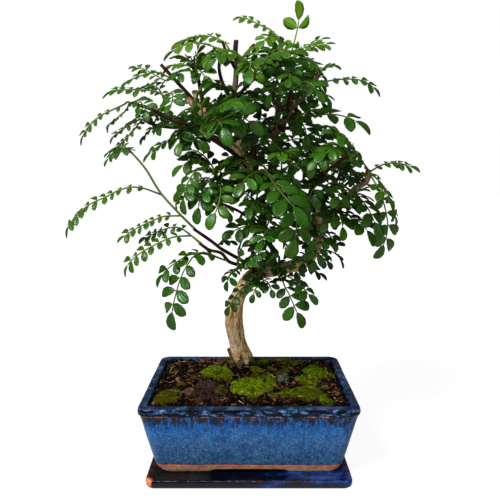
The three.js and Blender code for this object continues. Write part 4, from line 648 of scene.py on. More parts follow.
    ("tan_stub", [(-24, -8, 274), (-31, -20, 279)], [
        (6, 14, 0, [(-31, -19, 280), (-39, -30, 286), (-48, -38, 283), (-55, -43, 272), (-58, -46, 260),
            (-59, -48, 245)]),
        (5, 15, 0, [(-31, -19, 279), (-37, -32, 274), (-42, -40, 265), (-45, -44, 252), (-44, -46, 236)]),
        (4, 16, 0, [(-31, -19, 279), (-26, -34, 269), (-26, -42, 259), (-30, -48, 246), (-36, -52, 232)]),
        (5, 14, 0, [(-31, -18, 280), (-41, -22, 291), (-51, -24, 294), (-61, -26, 288), (-68, -27, 277)]),
        (5, 14, 0, [(-31, -17, 280), (-39, -8, 294), (-49, -4, 302), (-59, -2, 304), (-67, 0, 300)]),
        (4, 15, 0, [(-31, -18, 278), (-25, -14, 268), (-19, -8, 260), (-17, -4, 247)]),
        (4, 14, 0, [(-31, -18, 279), (-41, -10, 274), (-49, 0, 268), (-56, 7, 256)]),
        (3, 16, 0, [(-31, -20, 280), (-26, -32, 287), (-22, -42, 290), (-15, -48, 286)]),
        (4, 15, 0, [(-31, -20, 279), (-22, -25, 283), (-14, -29, 280), (-8, -31, 272)]),
    ]),
]

# The sprays that fill the crown: name, limb, how far along it, heading and rise in degrees, stem length,
# number of fronds and leaflet length.
FILL = [
    ("fill_front_1", "frontLimb", 0.6, -40, 30, 20, 7, 16),
    ("fill_front_2", "frontLeftLimb", 0.7, 180, 35, 20, 7, 16),
    ("fill_front_3", "innerTwig", 0.7, -60, -10, 20, 7, 15),
    ("fill_front_4", "frontRightLimb", 0.97, -70, 10, 16, 6, 12),
    ("fill_front_5", "frontTopLimb", 0.96, -90, 20, 16, 7, 15),
    ("fill_front_6", "frontHighLimb", 0.96, -90, 10, 16, 7, 12),
    ("fill_front_7", "innerTwig", 0.97, -130, 20, 18, 6, 13),
    ("fill_back_1", "backLimb", 0.97, 90, 10, 16, 6, 15),
    ("fill_back_2", "topRight", 0.3, 90, -10, 20, 6, 15),
    ("fill_back_3", "backLeftLimb", 0.97, 135, 10, 16, 6, 15),
    ("fill_back_4", "backLeftLimb", 0.5, 60, 40, 20, 6, 12),
    ("fill_back_5", "backRightLimb", 0.97, 40, 10, 16, 6, 12),
    ("fill_back_6", "backRightLimb", 0.45, 10, 30, 20, 6, 12),
    ("fill_back_7", "backTopLimb", 0.96, 80, 30, 16, 6, 14),
    ("fill_back_8", "backLowLimb", 0.97, 110, 0, 16, 6, 14),
    ("fill_back_9", "backLowLeftLimb", 0.97, 150, 0, 16, 5, 12),
    ("fill_inner_1", "topLimb", 0.5, -20, -10, 20, 7, 14),
    ("fill_inner_2", "midStub", 0.3, -20, -10, 20, 7, 14),
]

# The crown's outline in the front view, as x and z in the plane y = OUTLINE_PLANE.
CROWN_OUTLINE = [(-96, 368), (-80, 383), (-59, 397), (-26, 407), (-9, 409), (9, 412), (26, 420), (41, 407),
    (60, 401), (74, 396), (70, 381), (88, 364), (79, 354), (87, 343), (102, 333), (95, 318), (105, 305),
    (117, 295), (125, 283), (141, 269), (152, 250), (149, 230), (135, 222), (117, 228), (89, 232), (81, 210),
    (69, 197), (51, 193), (21, 197), (-3, 204), (-23, 206), (-37, 216), (-49, 234), (-61, 252), (-58, 277),
    (-66, 295), (-84, 301), (-105, 305), (-119, 316), (-132, 326), (-133, 341), (-119, 356)]



WORD = 2 ** 32


def seeded(seed):
    """A repeatable draw between 0 and 1, the same as the one that places the solids."""
    state = (seed * 2654435761 + 12345) % WORD

    def draw():
        nonlocal state
        state = (state * 1664525 + 1013904223) % WORD
        return state / WORD
    return draw


def unit(v):
    return v / np.linalg.norm(v, axis=-1, keepdims=True)


def direction(heading, rise):
    h, r = math.radians(heading), math.radians(rise)
    return np.array([math.cos(r) * math.cos(h), math.cos(r) * math.sin(h), math.sin(r)])


class Curve:
    """A smooth curve through points, with places given by the share of its length."""
    PARTS = 200
    NUDGE = 0.0001

    def __init__(self, points):
        p = np.array(points, float)
        self.points = np.vstack([2 * p[0] - p[1], p, 2 * p[-1] - p[-2]])
        self.spans = len(p) - 1
        self.shares = np.linspace(0, 1, self.PARTS + 1)
        steps = np.linalg.norm(np.diff(self.spot(self.shares), axis=0), axis=1)
        self.lengths = np.concatenate([[0], np.cumsum(steps)])
        self.length = self.lengths[-1]

    def spot(self, t):
        place = np.asarray(t, float) * self.spans
        k = np.minimum(place.astype(int), self.spans - 1)
        w = (place - k)[..., None]
        p0, p1, p2, p3 = (self.points[k + i] for i in range(4))
        t0, t1 = (p2 - p0) / 2, (p3 - p1) / 2
        return p1 + t0 * w + (-3 * p1 + 3 * p2 - 2 * t0 - t1) * w ** 2 + (2 * p1 - 2 * p2 + t0 + t1) * w ** 3

    def at(self, u):
        """The points and unit tangents at shares u of the length."""
        t = np.interp(np.asarray(u, float) * self.length, self.lengths, self.shares)
        before, after = np.clip(t - self.NUDGE, 0, 1), np.clip(t + self.NUDGE, 0, 1)
        return self.spot(t), unit(self.spot(after) - self.spot(before))


class Rib:
    """A frond's rib and the directions along it: its face turns up, outward and to the front."""

    def __init__(self, size, roll, path):
        self.curve = Curve(path)
        self.roll = math.radians(roll)
        middle = self.curve.at(0.5)[0]
        outward = unit(np.array([middle[0] - CROWN_AXIS[0], middle[1] - CROWN_AXIS[1], 0]))
        up, front = np.array([0, 0, 1.0]), np.array([0, -1.0, 0])
        facing = up + FACING["outward"] * outward + FACING["front"] * front
        self.across = np.cross(self.curve.at(1)[0] - self.curve.at(0)[0], facing)
        self.length = self.curve.length - size * LEAF["end_scale"]

    def at(self, s):
        point, along = self.curve.at(np.clip(np.asarray(s, float) / self.curve.length, 0, 1))
        face = unit(np.cross(self.across, along))
        face = face * math.cos(self.roll) + np.cross(along, face) * math.sin(self.roll)
        return point, along, face, np.cross(along, face)


def ribbon_of(size, roll, path):
    """Points over a frond's breadth, at which it is kept clear of its neighbours."""
    rib = Rib(size, roll, path)
    whole = rib.length + size
    stations, shares = [], []
    s = 2 * RIBBON_STEP
    while s <= whole:
        for share in ((0,) if s < PETIOLE_SHARE * rib.length else (0, 0.45, -0.45, 0.9, -0.9)):
            stations.append(s)
            shares.append(share)
        s += RIBBON_STEP
    point, _, _, side = rib.at(stations)
    return point + side * (np.array(shares) * size)[:, None]


class Room:
    """Where leaves and wood already are, with the room that each point needs."""
    WIDEST = 14

    def __init__(self):
        self.points, self.rooms, self.owners = np.empty((0, 3)), np.empty(0), np.empty(0, object)

    def take(self, points, owner, rooms):
        self.points = np.vstack([self.points, points])
        self.rooms = np.concatenate([self.rooms, np.broadcast_to(rooms, len(points))])
        self.owners = np.concatenate([self.owners, np.full(len(points), owner, object)])

    def free(self, points, owner, closeness=1.0):
        low, high = points.min(0) - self.WIDEST, points.max(0) + self.WIDEST
        near = ((self.points > low) & (self.points < high)).all(1)
        rooms = np.where(self.owners[near] == owner, CLEAR_IN_SPRAY, self.rooms[near])
        gap = np.linalg.norm(points[:, None, :] - self.points[near][None, :, :], axis=2)
        return not (gap < rooms * closeness).any()


def inside_crown(points):
    """Whether every point, as seen from the front, lies inside the crown's outline and is not too deep."""
    share = (OUTLINE_PLANE - VIEW_POINT[1]) / (points[:, 1] - VIEW_POINT[1])
    x = VIEW_POINT[0] + (points[:, 0] - VIEW_POINT[0]) * share
    z = VIEW_POINT[2] + (points[:, 2] - VIEW_POINT[2]) * share
    ax, az = np.array(CROWN_OUTLINE, float).T[:, :, None]
    bx, bz = np.roll(ax, -1, 0), np.roll(az, -1, 0)
    rise = np.where(az == bz, 1, bz - az)
    crossings = (((az > z) != (bz > z)) & (x < ax + (bx - ax) * (z - az) / rise)).sum(0)
    reach = ((points[:, 0] - CROWN_AXIS[0]) / CROWN_REACH[0]) ** 2 \
        + ((points[:, 1] - CROWN_AXIS[1]) / CROWN_REACH[1]) ** 2
    return bool(((crossings % 2 == 1) & (reach < 1)).all())


def arched_path(start, heading, rise, droop, length):
    """A rib that rises from its stem and arches over under its own weight."""
    path = [start]
    for k in range(ARCH["steps"]):
        step = direction(heading, rise - droop * k / (ARCH["steps"] - 1)) * length / ARCH["steps"]
        path.append(path[-1] + step)
    return path


def fill_spray(row, number, room):
    """A spray placed by rule: each frond takes the first free place that its draws give."""
    name, limb, along, heading, rise, length, count, size = row
    root = Curve(WOOD[limb][2]).at(along)[0]
    way = direction(heading, rise)
    fronds = []
    for j in range(count):
        for attempt in range(TRIES):
            draw = seeded(1000 * number + 50 * j + attempt)
            detour = attempt * ARCH["turn_step"] * (1 if attempt % 2 else -1)
            spread = (j - (count - 1) / 2) * ARCH["spread"] + detour
            seat = root + way * length * (FROND["seat"] + FROND["seat_range"] * draw())
            turn = heading + spread + ARCH["jitter"] * (draw() - 0.5)
            lift = rise + ARCH["rise"] * draw()
            droop = ARCH["droop"] + ARCH["droop_range"] * draw()
            reach = size * (FROND["length"] + FROND["length_range"] * draw())
            leaflet = size * (FROND["size"] + FROND["size_range"] * draw())
            pairs = FROND["pairs"] + int(FROND["pairs_range"] * draw())
            roll = FROND["roll"] * (draw() - 0.5)
            path = arched_path(seat, turn, lift, droop, reach)
            ribbon = ribbon_of(leaflet, roll, path)
            if inside_crown(ribbon) and room.free(ribbon, name):
                room.take(ribbon, name, CLEAR_OF_LEAVES)
                fronds.append((pairs, leaflet, roll, path))
                break
    return name, [root, root + way * length], fronds


def all_sprays():
    room = Room()
    for start, end, path in WOOD.values():
        curve = Curve(path)
        count = math.ceil(curve.length / RIBBON_STEP)
        shares = np.arange(count + 1) / count
        room.take(curve.at(shares)[0], "wood", start + (end - start) * shares + CLEAR_OF_WOOD)
    for name, _, fronds in SPRAYS:
        for _, size, roll, path in fronds:
            room.take(ribbon_of(size, roll, path), name, CLEAR_OF_LEAVES)
    return SPRAYS + [fill_spray(row, i + 1, room) for i, row in enumerate(FILL)], room


PLAIN = (0.5, 0.5, 0.5, 0.5)


class Skin:
    """Points, faces and per-point tones gathered for one mesh, in millimetres."""

    def __init__(self):
        self.points, self.faces, self.slots, self.tones, self.count = [], [], [], [], 0

    def add(self, points, faces, slot=0, tone=PLAIN):
        points = np.asarray(points, float)
        self.points.append(points)
        self.tones.append(np.broadcast_to(np.asarray(tone, float), (len(points), 4)))
        self.add_faces([[self.count + i for i in face] for face in faces], slot)
        self.count += len(points)

    def add_faces(self, faces, slot):
        self.faces += [tuple(face) for face in faces]
        self.slots += [slot] * len(faces)

    def build(self, name, materials, smooth=True):
        mesh = bpy.data.meshes.new(name)
        mesh.from_pydata((np.vstack(self.points) * MM).tolist(), [], self.faces)
        for material in materials:
            mesh.materials.append(material)
        mesh.polygons.foreach_set("material_index", self.slots)
        mesh.polygons.foreach_set("use_smooth", [smooth] * len(self.faces))
        tones = mesh.color_attributes.new("tone", "FLOAT_COLOR", "POINT")
        tones.data.foreach_set("color", np.vstack(self.tones).ravel())
        mesh.update()
        piece = bpy.data.objects.new(name, mesh)
        bpy.context.scene.collection.objects.link(piece)
        return piece


def dressed(piece, slot, *nodes):
    """A piece that rides on the frame and stands for its nodes; the slot is not used."""
    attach(piece, BODY)
    if nodes:
        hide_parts(*nodes)
    return piece


def grid_faces(rows, columns, closed=False):
    """Quads of a grid of points; closed joins the last column to the first."""
    faces = []
    for i in range(rows - 1):
        for j in range(columns if closed else columns - 1):
            a, b = i * columns + j, i * columns + (j + 1) % columns
            faces.append((a, b, b + columns, a + columns))
    return faces


def loft(skin, rings, slot=0, tone=PLAIN):
    """A closed body through rings of points, with both ends capped."""
    count = len(rings[0])
    points = np.vstack(rings)
    ends = [tuple(range(count))[::-1], tuple(range(len(points) - count, len(points)))]
    skin.add(points, grid_faces(len(rings), count, closed=True) + ends, slot, tone)


def frames_along(curve, steps):
    """At even steps along a curve: share, centre, tangent and two directions across, untwisted."""
    shares = np.linspace(0, 1, steps + 1)
    side = np.array([1.0, 0, 0])
    for share, centre, along in zip(shares, *curve.at(shares)):
        side = unit(side - along * (along @ side))
        yield share, centre, along, side, np.cross(along, side)


def add_tube(skin, points, start, end, sides, steps, slot, tone, taper=1.0):
    """A round rod along a path, from one radius to another."""
    turns = np.linspace(0, 2 * math.pi, sides, endpoint=False)
    cos, sin = np.cos(turns), np.sin(turns)
    rings = [centre + (start + (end - start) * share ** taper) * (np.outer(cos, side) + np.outer(sin, other))
             for share, centre, _, side, other in frames_along(Curve(points), steps)]
    loft(skin, rings, slot, tone)


# A leaflet of unit length: how far out each row lies and its half width as a share of the breadth. The tip is
# round with a shallow notch, and the edge is faintly scalloped.
LEAFLET_ROWS = ((0, 0.08), (0.06, 0.2), (0.15, 0.43), (0.28, 0.71), (0.43, 0.92), (0.58, 1.02), (0.72, 1),
                (0.84, 0.87), (0.93, 0.65), (0.98, 0.38))
LEAFLET_COLUMNS = (-1, -0.55, 0, 0.55, 1)
BASE_ROUND = 0.03
TIP_ROUND = 0.05
NOTCH = 0.03
FOLD = 0.34
SCALLOP = 0.035
THICKNESS = 0.03
TIP_THICKNESS = 0.4


def leaflet_sheet():
    """The leaflet's two sides, meeting at the edge: points as out, across and up, tones and faces."""
    rows, columns = len(LEAFLET_ROWS), len(LEAFLET_COLUMNS)
    points, tones, upper_at, lower_at = [], [], [], []
    for i, (out, half) in enumerate(LEAFLET_ROWS):
        at_tip = i == rows - 1
        for v in LEAFLET_COLUMNS:
            edge = abs(v) == 1
            scallop = 1 + (SCALLOP if edge and i % 2 else -SCALLOP if edge else 0)
            tip = out + (TIP_ROUND * (1 - abs(v)) - NOTCH * (v == 0) if at_tip else 0)
            base = BASE_ROUND * abs(v) if i < 2 else 0
            fold = FOLD * half * (abs(v) - 0.45 * v * v) * LEAF["breadth"]
            thick = THICKNESS * (1 - v * v) * min(1, 3 * out + 0.2) * (TIP_THICKNESS if at_tip else 1)
            for sheet, sign in ((upper_at, 1), (lower_at, -1)):
                if sign == -1 and edge:
                    sheet.append(upper_at[-1])
                    continue
                sheet.append(len(points))
                points.append((tip + base, v * half * scallop, fold + sign * thick))
                tones.append((0, 0, 0.5 + 0.5 * v, out))
    grid = grid_faces(rows, columns)
    upper = [tuple(upper_at[k] for k in face) for face in grid]
    lower = [tuple(lower_at[k] for k in face[::-1]) for face in grid]
    last = (rows - 1) * columns
    for j in range(columns - 1):
        for a, b in ((j + 1, j), (last + j, last + j + 1)):
            lower.append(tuple(dict.fromkeys((upper_at[a], upper_at[b], lower_at[b], lower_at[a]))))
    return np.array(points), np.array(tones), upper, lower


LEAFLET_POINTS, LEAFLET_TONES, LEAFLET_UPPER, LEAFLET_LOWER = leaflet_sheet()

# No two leaflets are alike: the range of their turns in degrees, and droop and bow as shares of the length.
SWAY = {"turn": 26, "droop": 0.1, "droop_range": 0.14, "bow": 0.05}


def turned_pair(a, b, angle):
    """Two perpendicular directions turned in their own plane, the first towards the second."""
    cos, sin = math.cos(angle), math.sin(angle)
    return a * cos + b * sin, b * cos - a * sin


def add_leaflet(skin, place, angle, size, draw, tone, youth):
    """One leaflet out of the rib at an angle, drooping at its tip and turned a little."""
    point, along, face, side = place
    out, across = turned_pair(along, side, angle)
    tilt, pitch = (math.radians(SWAY["turn"] * (draw() - middle)) for middle in (0.5, 0.6))
    out, face = turned_pair(out, face, pitch)
    across, face = turned_pair(across, face, tilt)
    u, v, w = LEAFLET_POINTS.T
    droop = (SWAY["droop"] + SWAY["droop_range"] * draw()) * u ** 2
    bow = SWAY["bow"] * (draw() - 0.5) * u * (1 - u)
    points = point + size * (np.outer(u, out) + np.outer(v * LEAF["breadth"] / 2 + bow, across)
                             + np.outer(w - droop, face))
    tones = LEAFLET_TONES.copy()
    tones[:, 0], tones[:, 1] = tone, youth
    skin.add(points, LEAFLET_UPPER, 0, tones)
    skin.add_faces([[skin.count - len(points) + i for i in f] for f in LEAFLET_LOWER], 1)


def seats_of(stem, fronds):
    """The places on a stem's outer part where its fronds leave it, one for each frond."""
    free = max(SEATS["share"], 1 - SEATS["clear"] / stem.length)
    steps = max(fronds, int(stem.length * free / SEATS["spacing"]))
    return list(stem.at(1 - free * np.arange(steps + 1) / steps)[0])


# A rib's radius at both ends and how it thins, the sides and steps of its mesh, and the same of a stem.
RIB = {"start": 0.95, "end": 0.6, "taper": 0.6, "sides": 5, "steps": 14}
STEM = {"start": 1.25, "end": 0.85, "sides": 7, "step": 3, "fewest": 4}


def add_frond(skin, frond, seats, draw, youth):
    """A frond: the rib from its seat on the stem, pairs of leaflets and the one at the tip."""
    pairs, size, roll, path = frond
    seats.sort(key=lambda seat: np.linalg.norm(seat - np.array(path[0], float)))
    rib = Rib(size, roll, [seats.pop(0), *path[1:]])
    shares = np.linspace(0, max(rib.length, 1), RIB["steps"] + 1)
    add_tube(skin, rib.at(shares)[0], RIB["start"], RIB["end"], RIB["sides"], RIB["steps"], 2,
             (draw(), youth, 0.5, 0.5), RIB["taper"])
    first = rib.length * (0.2 if pairs > 2 else 0.36)
    last = rib.length - size * 0.4
    for i in range(pairs):
        share = (i / max(1, pairs - 1)) ** 0.9
        scale = (0.66 + 0.34 * share) * (0.93 + 0.14 * draw())
        for sign in (1, -1):
            s = first + (last - first) * share + 1.4 * (draw() - 0.5)
            place = rib.at(s)
            angle = sign * math.radians(LEAF["angle"] + 4 - 10 * share + 14 * (draw() - 0.5))
            start = (place[0] + place[3] * sign * 0.5, *place[1:])
            add_leaflet(skin, start, angle, size * scale, draw, draw(), youth)
    angle = math.radians(8 * (draw() - 0.5))
    add_leaflet(skin, rib.at(rib.length), angle, size * LEAF["end_scale"], draw, draw(), youth)


YOUNG_SPRAYS = ("crown_shoot", "crown_left", "left_rise", "mast_left", "mast_right")


def spray_piece(spray, number):
    """A spray's stem and fronds, in the place of its node."""
    name, stem_points, fronds = spray
    draw = seeded(SEEDS["sprays"] + number)
    stem = Curve(stem_points)
    young = 0.6 if name in YOUNG_SPRAYS else 0.15
    skin = Skin()
    seats = seats_of(stem, len(fronds))
    for frond in fronds:
        add_frond(skin, frond, seats, draw, min(1, young + 0.25 * draw()))
    steps = max(STEM["fewest"], int(stem.length / STEM["step"]))
    add_tube(skin, stem_points, STEM["start"], STEM["end"], STEM["sides"], steps, 2,
             (0.6, young + 0.4, 0.5, 0.5))
    piece = skin.build(f"leaves_{name}", [LEAF_TOP, LEAF_UNDER, RIB_SKIN])
    return dressed(piece, "leaf", f"spray_{name}")


# Small leafy shoots straight out of the wood: limb, where they start and end along it, and how many.
SHOOTS = [
    ("trunk", 0.66, 1, 26), ("leader", 0, 0.74, 44), ("rightLimb", 0, 0.85, 16), ("topRight", 0.05, 0.8, 16),
    ("mast", 0.02, 0.42, 10), ("midStub", 0, 0.75, 10), ("innerTwig", 0, 0.8, 8), ("topLimb", 0.1, 0.8, 10),
    ("leftLimb", 0, 0.4, 6), ("frontLimb", 0.2, 0.9, 8), ("lowTwigUpper", 0.05, 0.95, 14),
    ("lowTwigUnder", 0.1, 0.95, 12), ("topLimb", 0, 0.5, 10), ("mast", 0.2, 0.6, 8), ("leftTwig", 0, 0.8, 5),
]
SHOOT_CLOSENESS = 0.6
SHOOT_TRIES = 30
SHOOT_PAIRS = (2, 3, 3)
# Most shoots face the viewer: their spread in heading, and the ranges of rise, droop and roll, in degrees.
SHOOT_TURN = {"front": -90, "spread": 62, "rise": (-10, 55), "droop": (50, 100), "roll": (-40, 40)}


def shoot_from(draw, curve, start, end, low, high):
    """One draw of a short frond that leaves a limb: leaflet length, roll and rib."""
    share = draw.uniform(low, high)
    root = curve.at(share)[0]
    heading = SHOOT_TURN["front"] + draw.gauss(0, SHOOT_TURN["spread"])
    rise = draw.uniform(*SHOOT_TURN["rise"])
    size = draw.uniform(8.5, 13)
    seat = root + direction(heading, rise) * (start + (end - start) * share) * 0.7
    droop = draw.uniform(*SHOOT_TURN["droop"])
    rib = arched_path(seat, heading, rise, droop, size * draw.uniform(2.2, 3.4))
    return size, draw.uniform(*SHOOT_TURN["roll"]), rib


def shoots_piece(room):
    """Short fronds on the old wood, mostly at its front, each in a place that the sprays leave free."""
    draw = random.Random(SEEDS["shoots"])
    skin = Skin()
    for limb, low, high, count in SHOOTS:
        start, end, path = WOOD[limb]
        curve = Curve(path)
        for _ in range(count):
            for _ in range(SHOOT_TRIES):
                size, roll, rib = shoot_from(draw, curve, start, end, low, high)
                ribbon = ribbon_of(size, roll, rib)[3:]
                fits = len(ribbon) and room.free(ribbon, limb, SHOOT_CLOSENESS)
                if fits and (limb == "trunk" or inside_crown(ribbon)):
                    room.take(ribbon, "shoots", CLEAR_OF_LEAVES)
                    frond = (draw.choice(SHOOT_PAIRS), size, roll, rib)
                    add_frond(skin, frond, rib[:1], draw.random, draw.uniform(0, 0.3))
                    break
    dressed(skin.build("limb_shoots", [LEAF_TOP, LEAF_UNDER, RIB_SKIN]), "leaf")


# The bark, in millimetres: how high its ridges stand, and the radius above which a limb gets a finer mesh.
BARK_RIDGE = 0.55
THICK_LIMB = 2.4
# The trunk's flare at its foot, the reach of a limb's collar, and how the bark's pattern is scaled.
FLARE = {"width": 1.6, "share": 0.22}
COLLAR_REACH = 4
BARK_SCALE = {"round": 1.7, "along": 0.055, "flake": 2.3, "flake_along": 0.3}


def limb_grid(name, radius):
    """How many sides a limb's mesh has, and how long its steps are."""
    if name == "trunk":
        return 56, 1.5
    if radius > THICK_LIMB:
        return (32 if name == "leader" else 20), 2.2
    return 12, 3


def limb_mesh(skin, name, start, end, path):
    """One limb with its bark ridges, a swollen collar where it leaves its parent, and a pruned end."""
    curve = Curve(path)
    trunk, root = name == "trunk", name.startswith("root")
    sides, step = limb_grid(name, start)
    steps = max(6, round(curve.length / step))
    turns = np.linspace(0, 2 * math.pi, sides, endpoint=False)
    seed = sum(map(ord, name))
    age = 0.9 if name.startswith("leader") or name == "mast" else min(1, max(0, (start - 2.2) / 3.4))
    darker = 1.3 if name == "mast" else 0
    swell = 0.05 if trunk else 0.03
    has_collar = not (trunk or root or name == "leader")
    points, tones = [], []
    for t, centre, along, side, other in frames_along(curve, steps):
        flare = FLARE["width"] * max(0, 1 - t / FLARE["share"]) if trunk else 0
        base = start + (end - start) * t + flare
        collar = 0.5 * start * math.exp(-(t * curve.length / COLLAR_REACH) ** 2) if has_collar else 0
        height = t if trunk else 0 if root else 1
        for turn in turns:
            x, y = math.cos(turn) * BARK_SCALE["round"] + seed, math.sin(turn) * BARK_SCALE["round"]
            where = Vector((x, y, t * curve.length * BARK_SCALE["along"]))
            ridge = noise.fractal(where, 0.9, 2.1, 3)
            flake = noise.noise(Vector((where.x * BARK_SCALE["flake"], where.y * BARK_SCALE["flake"],
                                        t * curve.length * BARK_SCALE["flake_along"])))
            rough = BARK_RIDGE * min(1, base / 8) * (1.3 * ridge + 0.6 * flake)
            bark = 1 + swell * math.sin(3 * turn + 9 * t) + swell * math.sin(23 * t)
            radius = base * bark + collar + rough
            points.append(centre + radius * (side * math.cos(turn) + other * math.sin(turn)))
            tones.append((0.5 + 0.5 * ridge, age - darker * max(0, t - 0.35), height, 0.5 + 0.5 * flake))
    points = np.array(points)
    skin.add(points, grid_faces(steps + 1, sides, closed=True), 0, np.clip(tones, 0, 1))
    last, foot = points[-sides:], points[:sides]
    middle = last.mean(0) + along * 0.12 * end
    inner = middle + (last - last.mean(0)) * 0.8
    faces = grid_faces(2, sides, closed=True)
    faces += [(sides + i, sides + (i + 1) % sides, 2 * sides) for i in range(sides)]
    skin.add(np.vstack([last, inner, middle]), faces, 1, (0.5, age, 0.5, 0.5))
    skin.add(np.vstack([foot, foot.mean(0)]), [((i + 1) % sides, i, sides) for i in range(sides)])


def wood_pieces():
    """The old wood and the branches, two pieces in the place of one node."""
    trunk, limbs = Skin(), Skin()
    for name, (start, end, path) in WOOD.items():
        heavy = name in ("trunk", "leader", "deadStub") or name.startswith("root")
        limb_mesh(trunk if heavy else limbs, name, start, end, path)
    for skin, name in ((trunk, "trunk_bark"), (limbs, "branches_bark")):
        dressed(skin.build(name, [BARK, CUT_WOOD]), "bark", "trunk_and_branches")


def rounded_rectangle(half_x, half_y, corner, z, steps=8, sides=(40, 30)):
    """The outline of a rounded rectangle, anticlockwise, with its straight sides in equal parts."""
    corners = []
    for k, (sx, sy) in enumerate(((1, 1), (-1, 1), (-1, -1), (1, -1))):
        angles = (k + np.linspace(0, 1, steps + 1)) * math.pi / 2
        corners.append(np.stack([sx * (half_x - corner) + corner * np.cos(angles),
                                 sy * (half_y - corner) + corner * np.sin(angles), np.full(steps + 1, z)], 1))
    points = []
    for k, arc in enumerate(corners):
        share = np.linspace(0, 1, sides[k % 2] + 1)[1:-1, None]
        points += [arc, arc[-1] + (corners[(k + 1) % 4][0] - arc[-1]) * share]
    return np.vstack(points)


ROUNDING = 0.28
ROUNDING_STEPS = 3


def round_profile(rows):
    """The rows of a profile with each inner corner rounded by a few short steps."""
    rows = [np.array(row, float) for row in rows]
    out = [rows[0]]
    for before, row, after in zip(rows, rows[1:], rows[2:]):
        a, b = row + (before - row) * ROUNDING, row + (after - row) * ROUNDING
        for k in range(ROUNDING_STEPS + 1):
            t = k / ROUNDING_STEPS
            out.append((1 - t) ** 2 * a + 2 * t * (1 - t) * row + t * t * b)
    return out + [rows[-1]]


def wall_level(z):
    """How high a level lies on the pot's wall, from 0 at its foot to 1 under the rim."""
    return (z - SAUCER["floor"]) / (POT["height"] - POT["rim_height"])


def pot_inset(z):
    level = wall_level(z)
    rounding = max(0, 1 - level / 0.16)
    return POT["rim_step"] + POT_TAPER * (1 - level) + 2.5 * rounding * rounding


def extra_slope(z):
    """The front and back walls lean in this much more than the ends."""
    return POT_EXTRA_SLOPE * max(0, 1 - wall_level(z))


def waved(ring, depth, seed):
    """Hand-made unevenness: each point moves a little along the plan's outward direction."""
    out = []
    for p in ring:
        n = noise.noise(Vector((p[0] * 0.03 + seed, p[1] * 0.03, p[2] * 0.06)))
        away = np.array([p[0], p[1], 0]) / max(1, math.hypot(p[0], p[1]))
        out.append(np.array(p) + away * n * depth)
    return np.array(out)


def moulded(name, size, rows, material, wave, seed, slope=lambda z: 0):
    """A dish with a rounded plan, from its profile: inset, height and corner radius of each row."""
    rings = []
    for inset, z, corner in round_profile(rows):
        ring = rounded_rectangle(size["width"] / 2 - inset, size["depth"] / 2 - inset - slope(z), corner, z)
        rings.append(waved(ring, wave if z > 1 else 0, seed))
    skin = Skin()
    loft(skin, rings)
    return skin.build(name, [material])


# Heights on the pot's outer wall with the corner radius at each.
POT_WALL = ((4, 11), (5.5, 10.5), (8, 10), (11, 9.5), (14, 9), (27, 9), (40, 9), (54, 9))
HOLE_SIDES = 32
HOLE_REACH = (-16, 20)


def pot_piece():
    """The pot with its rolled rim, the gaps between its feet and its two drain holes."""
    under, floor = RIM_TOP - POT["rim_height"], SAUCER["floor"]
    rows = [(pot_inset(z), z, corner) for z, corner in POT_WALL]
    rows += [(POT["rim_step"], under, 9), (0.2, under + 1.2, 9), (0, under + 4, 9), (0.7, RIM_TOP - 0.8, 9),
             (2.2, RIM_TOP, 9), (POT["rim"] - 1.4, RIM_TOP, 6), (POT["rim"], RIM_TOP - 1.2, 5),
             (POT["rim"] + 0.4, under - 2, 5), (pot_inset(POT_FLOOR) + POT["wall"], POT_FLOOR, 5)]
    piece = moulded("glazed_pot", POT, rows, POT_GLAZE, wave=0.35, seed=3, slope=extra_slope)
    gap_between_feet(piece, "x", FOOT["inner_x"], POT["depth"])
    gap_between_feet(piece, "y", FOOT["inner_y"], POT["width"])
    turns = np.linspace(0, 2 * math.pi, HOLE_SIDES, endpoint=False)
    for side in (-1, 1):
        rim = list(zip(side * DRAIN["spacing"] / 2 + DRAIN["radius"] * np.cos(turns),
                       DRAIN["radius"] * np.sin(turns)))
        cut(piece, [[(x, y, z) for x, y in rim] for z in (floor + HOLE_REACH[0], floor + HOLE_REACH[1])])
    return dressed(piece, "pot_glaze", "pot")


def gap_between_feet(piece, axis, half, reach):
    """The gap between two feet, taken out right across the base, with sloping ends and soft corners."""
    low, high = SAUCER["floor"] - 1, SAUCER["floor"] + FOOT["height"]
    soft, slope = 1.5, FOOT["slope"]
    right = [(half + slope / 3, low), (half - slope + soft, high - 0.6), (half - slope - soft, high)]
    left = [(-u, z) for u, z in right[::-1]]
    profile = [left[-1], *right, *left[:-1]]
    ends = (reach / 2 + 10, -reach / 2 - 10)
    cut(piece, [[(u, y, z) if axis == "x" else (-y, u, z) for u, z in profile] for y in ends])


def cut(piece, ends):
    """Take a prism out of a piece."""
    skin = Skin()
    loft(skin, ends)
    tool = skin.build("cutter", [])
    clean = piece.modifiers.new("cut", "BOOLEAN")
    clean.operation, clean.solver, clean.object = "DIFFERENCE", "EXACT", tool
    graph = bpy.context.evaluated_depsgraph_get()
    mesh = bpy.data.meshes.new_from_object(piece.evaluated_get(graph))
    piece.modifiers.clear()
    old, piece.data = piece.data, mesh
    bpy.data.meshes.remove(old)
    bpy.data.objects.remove(tool)


def saucer_piece():
    h, lip = SAUCER["height"], SAUCER["lip"]
    rows = [(2.5, 0, 6.5), (0.6, 1.6, 7.5), (0, h - 2, 8), (0.8, h - 0.4, 7.6), (2, h, 7),
            (lip - 1.6, h - 0.6, 6.5), (lip + 2.4, SAUCER["floor"], 4.5)]
    piece = moulded("glazed_saucer", SAUCER, rows, SAUCER_GLAZE, wave=0.25, seed=9)
    return dressed(piece, "saucer_glaze", "saucer")


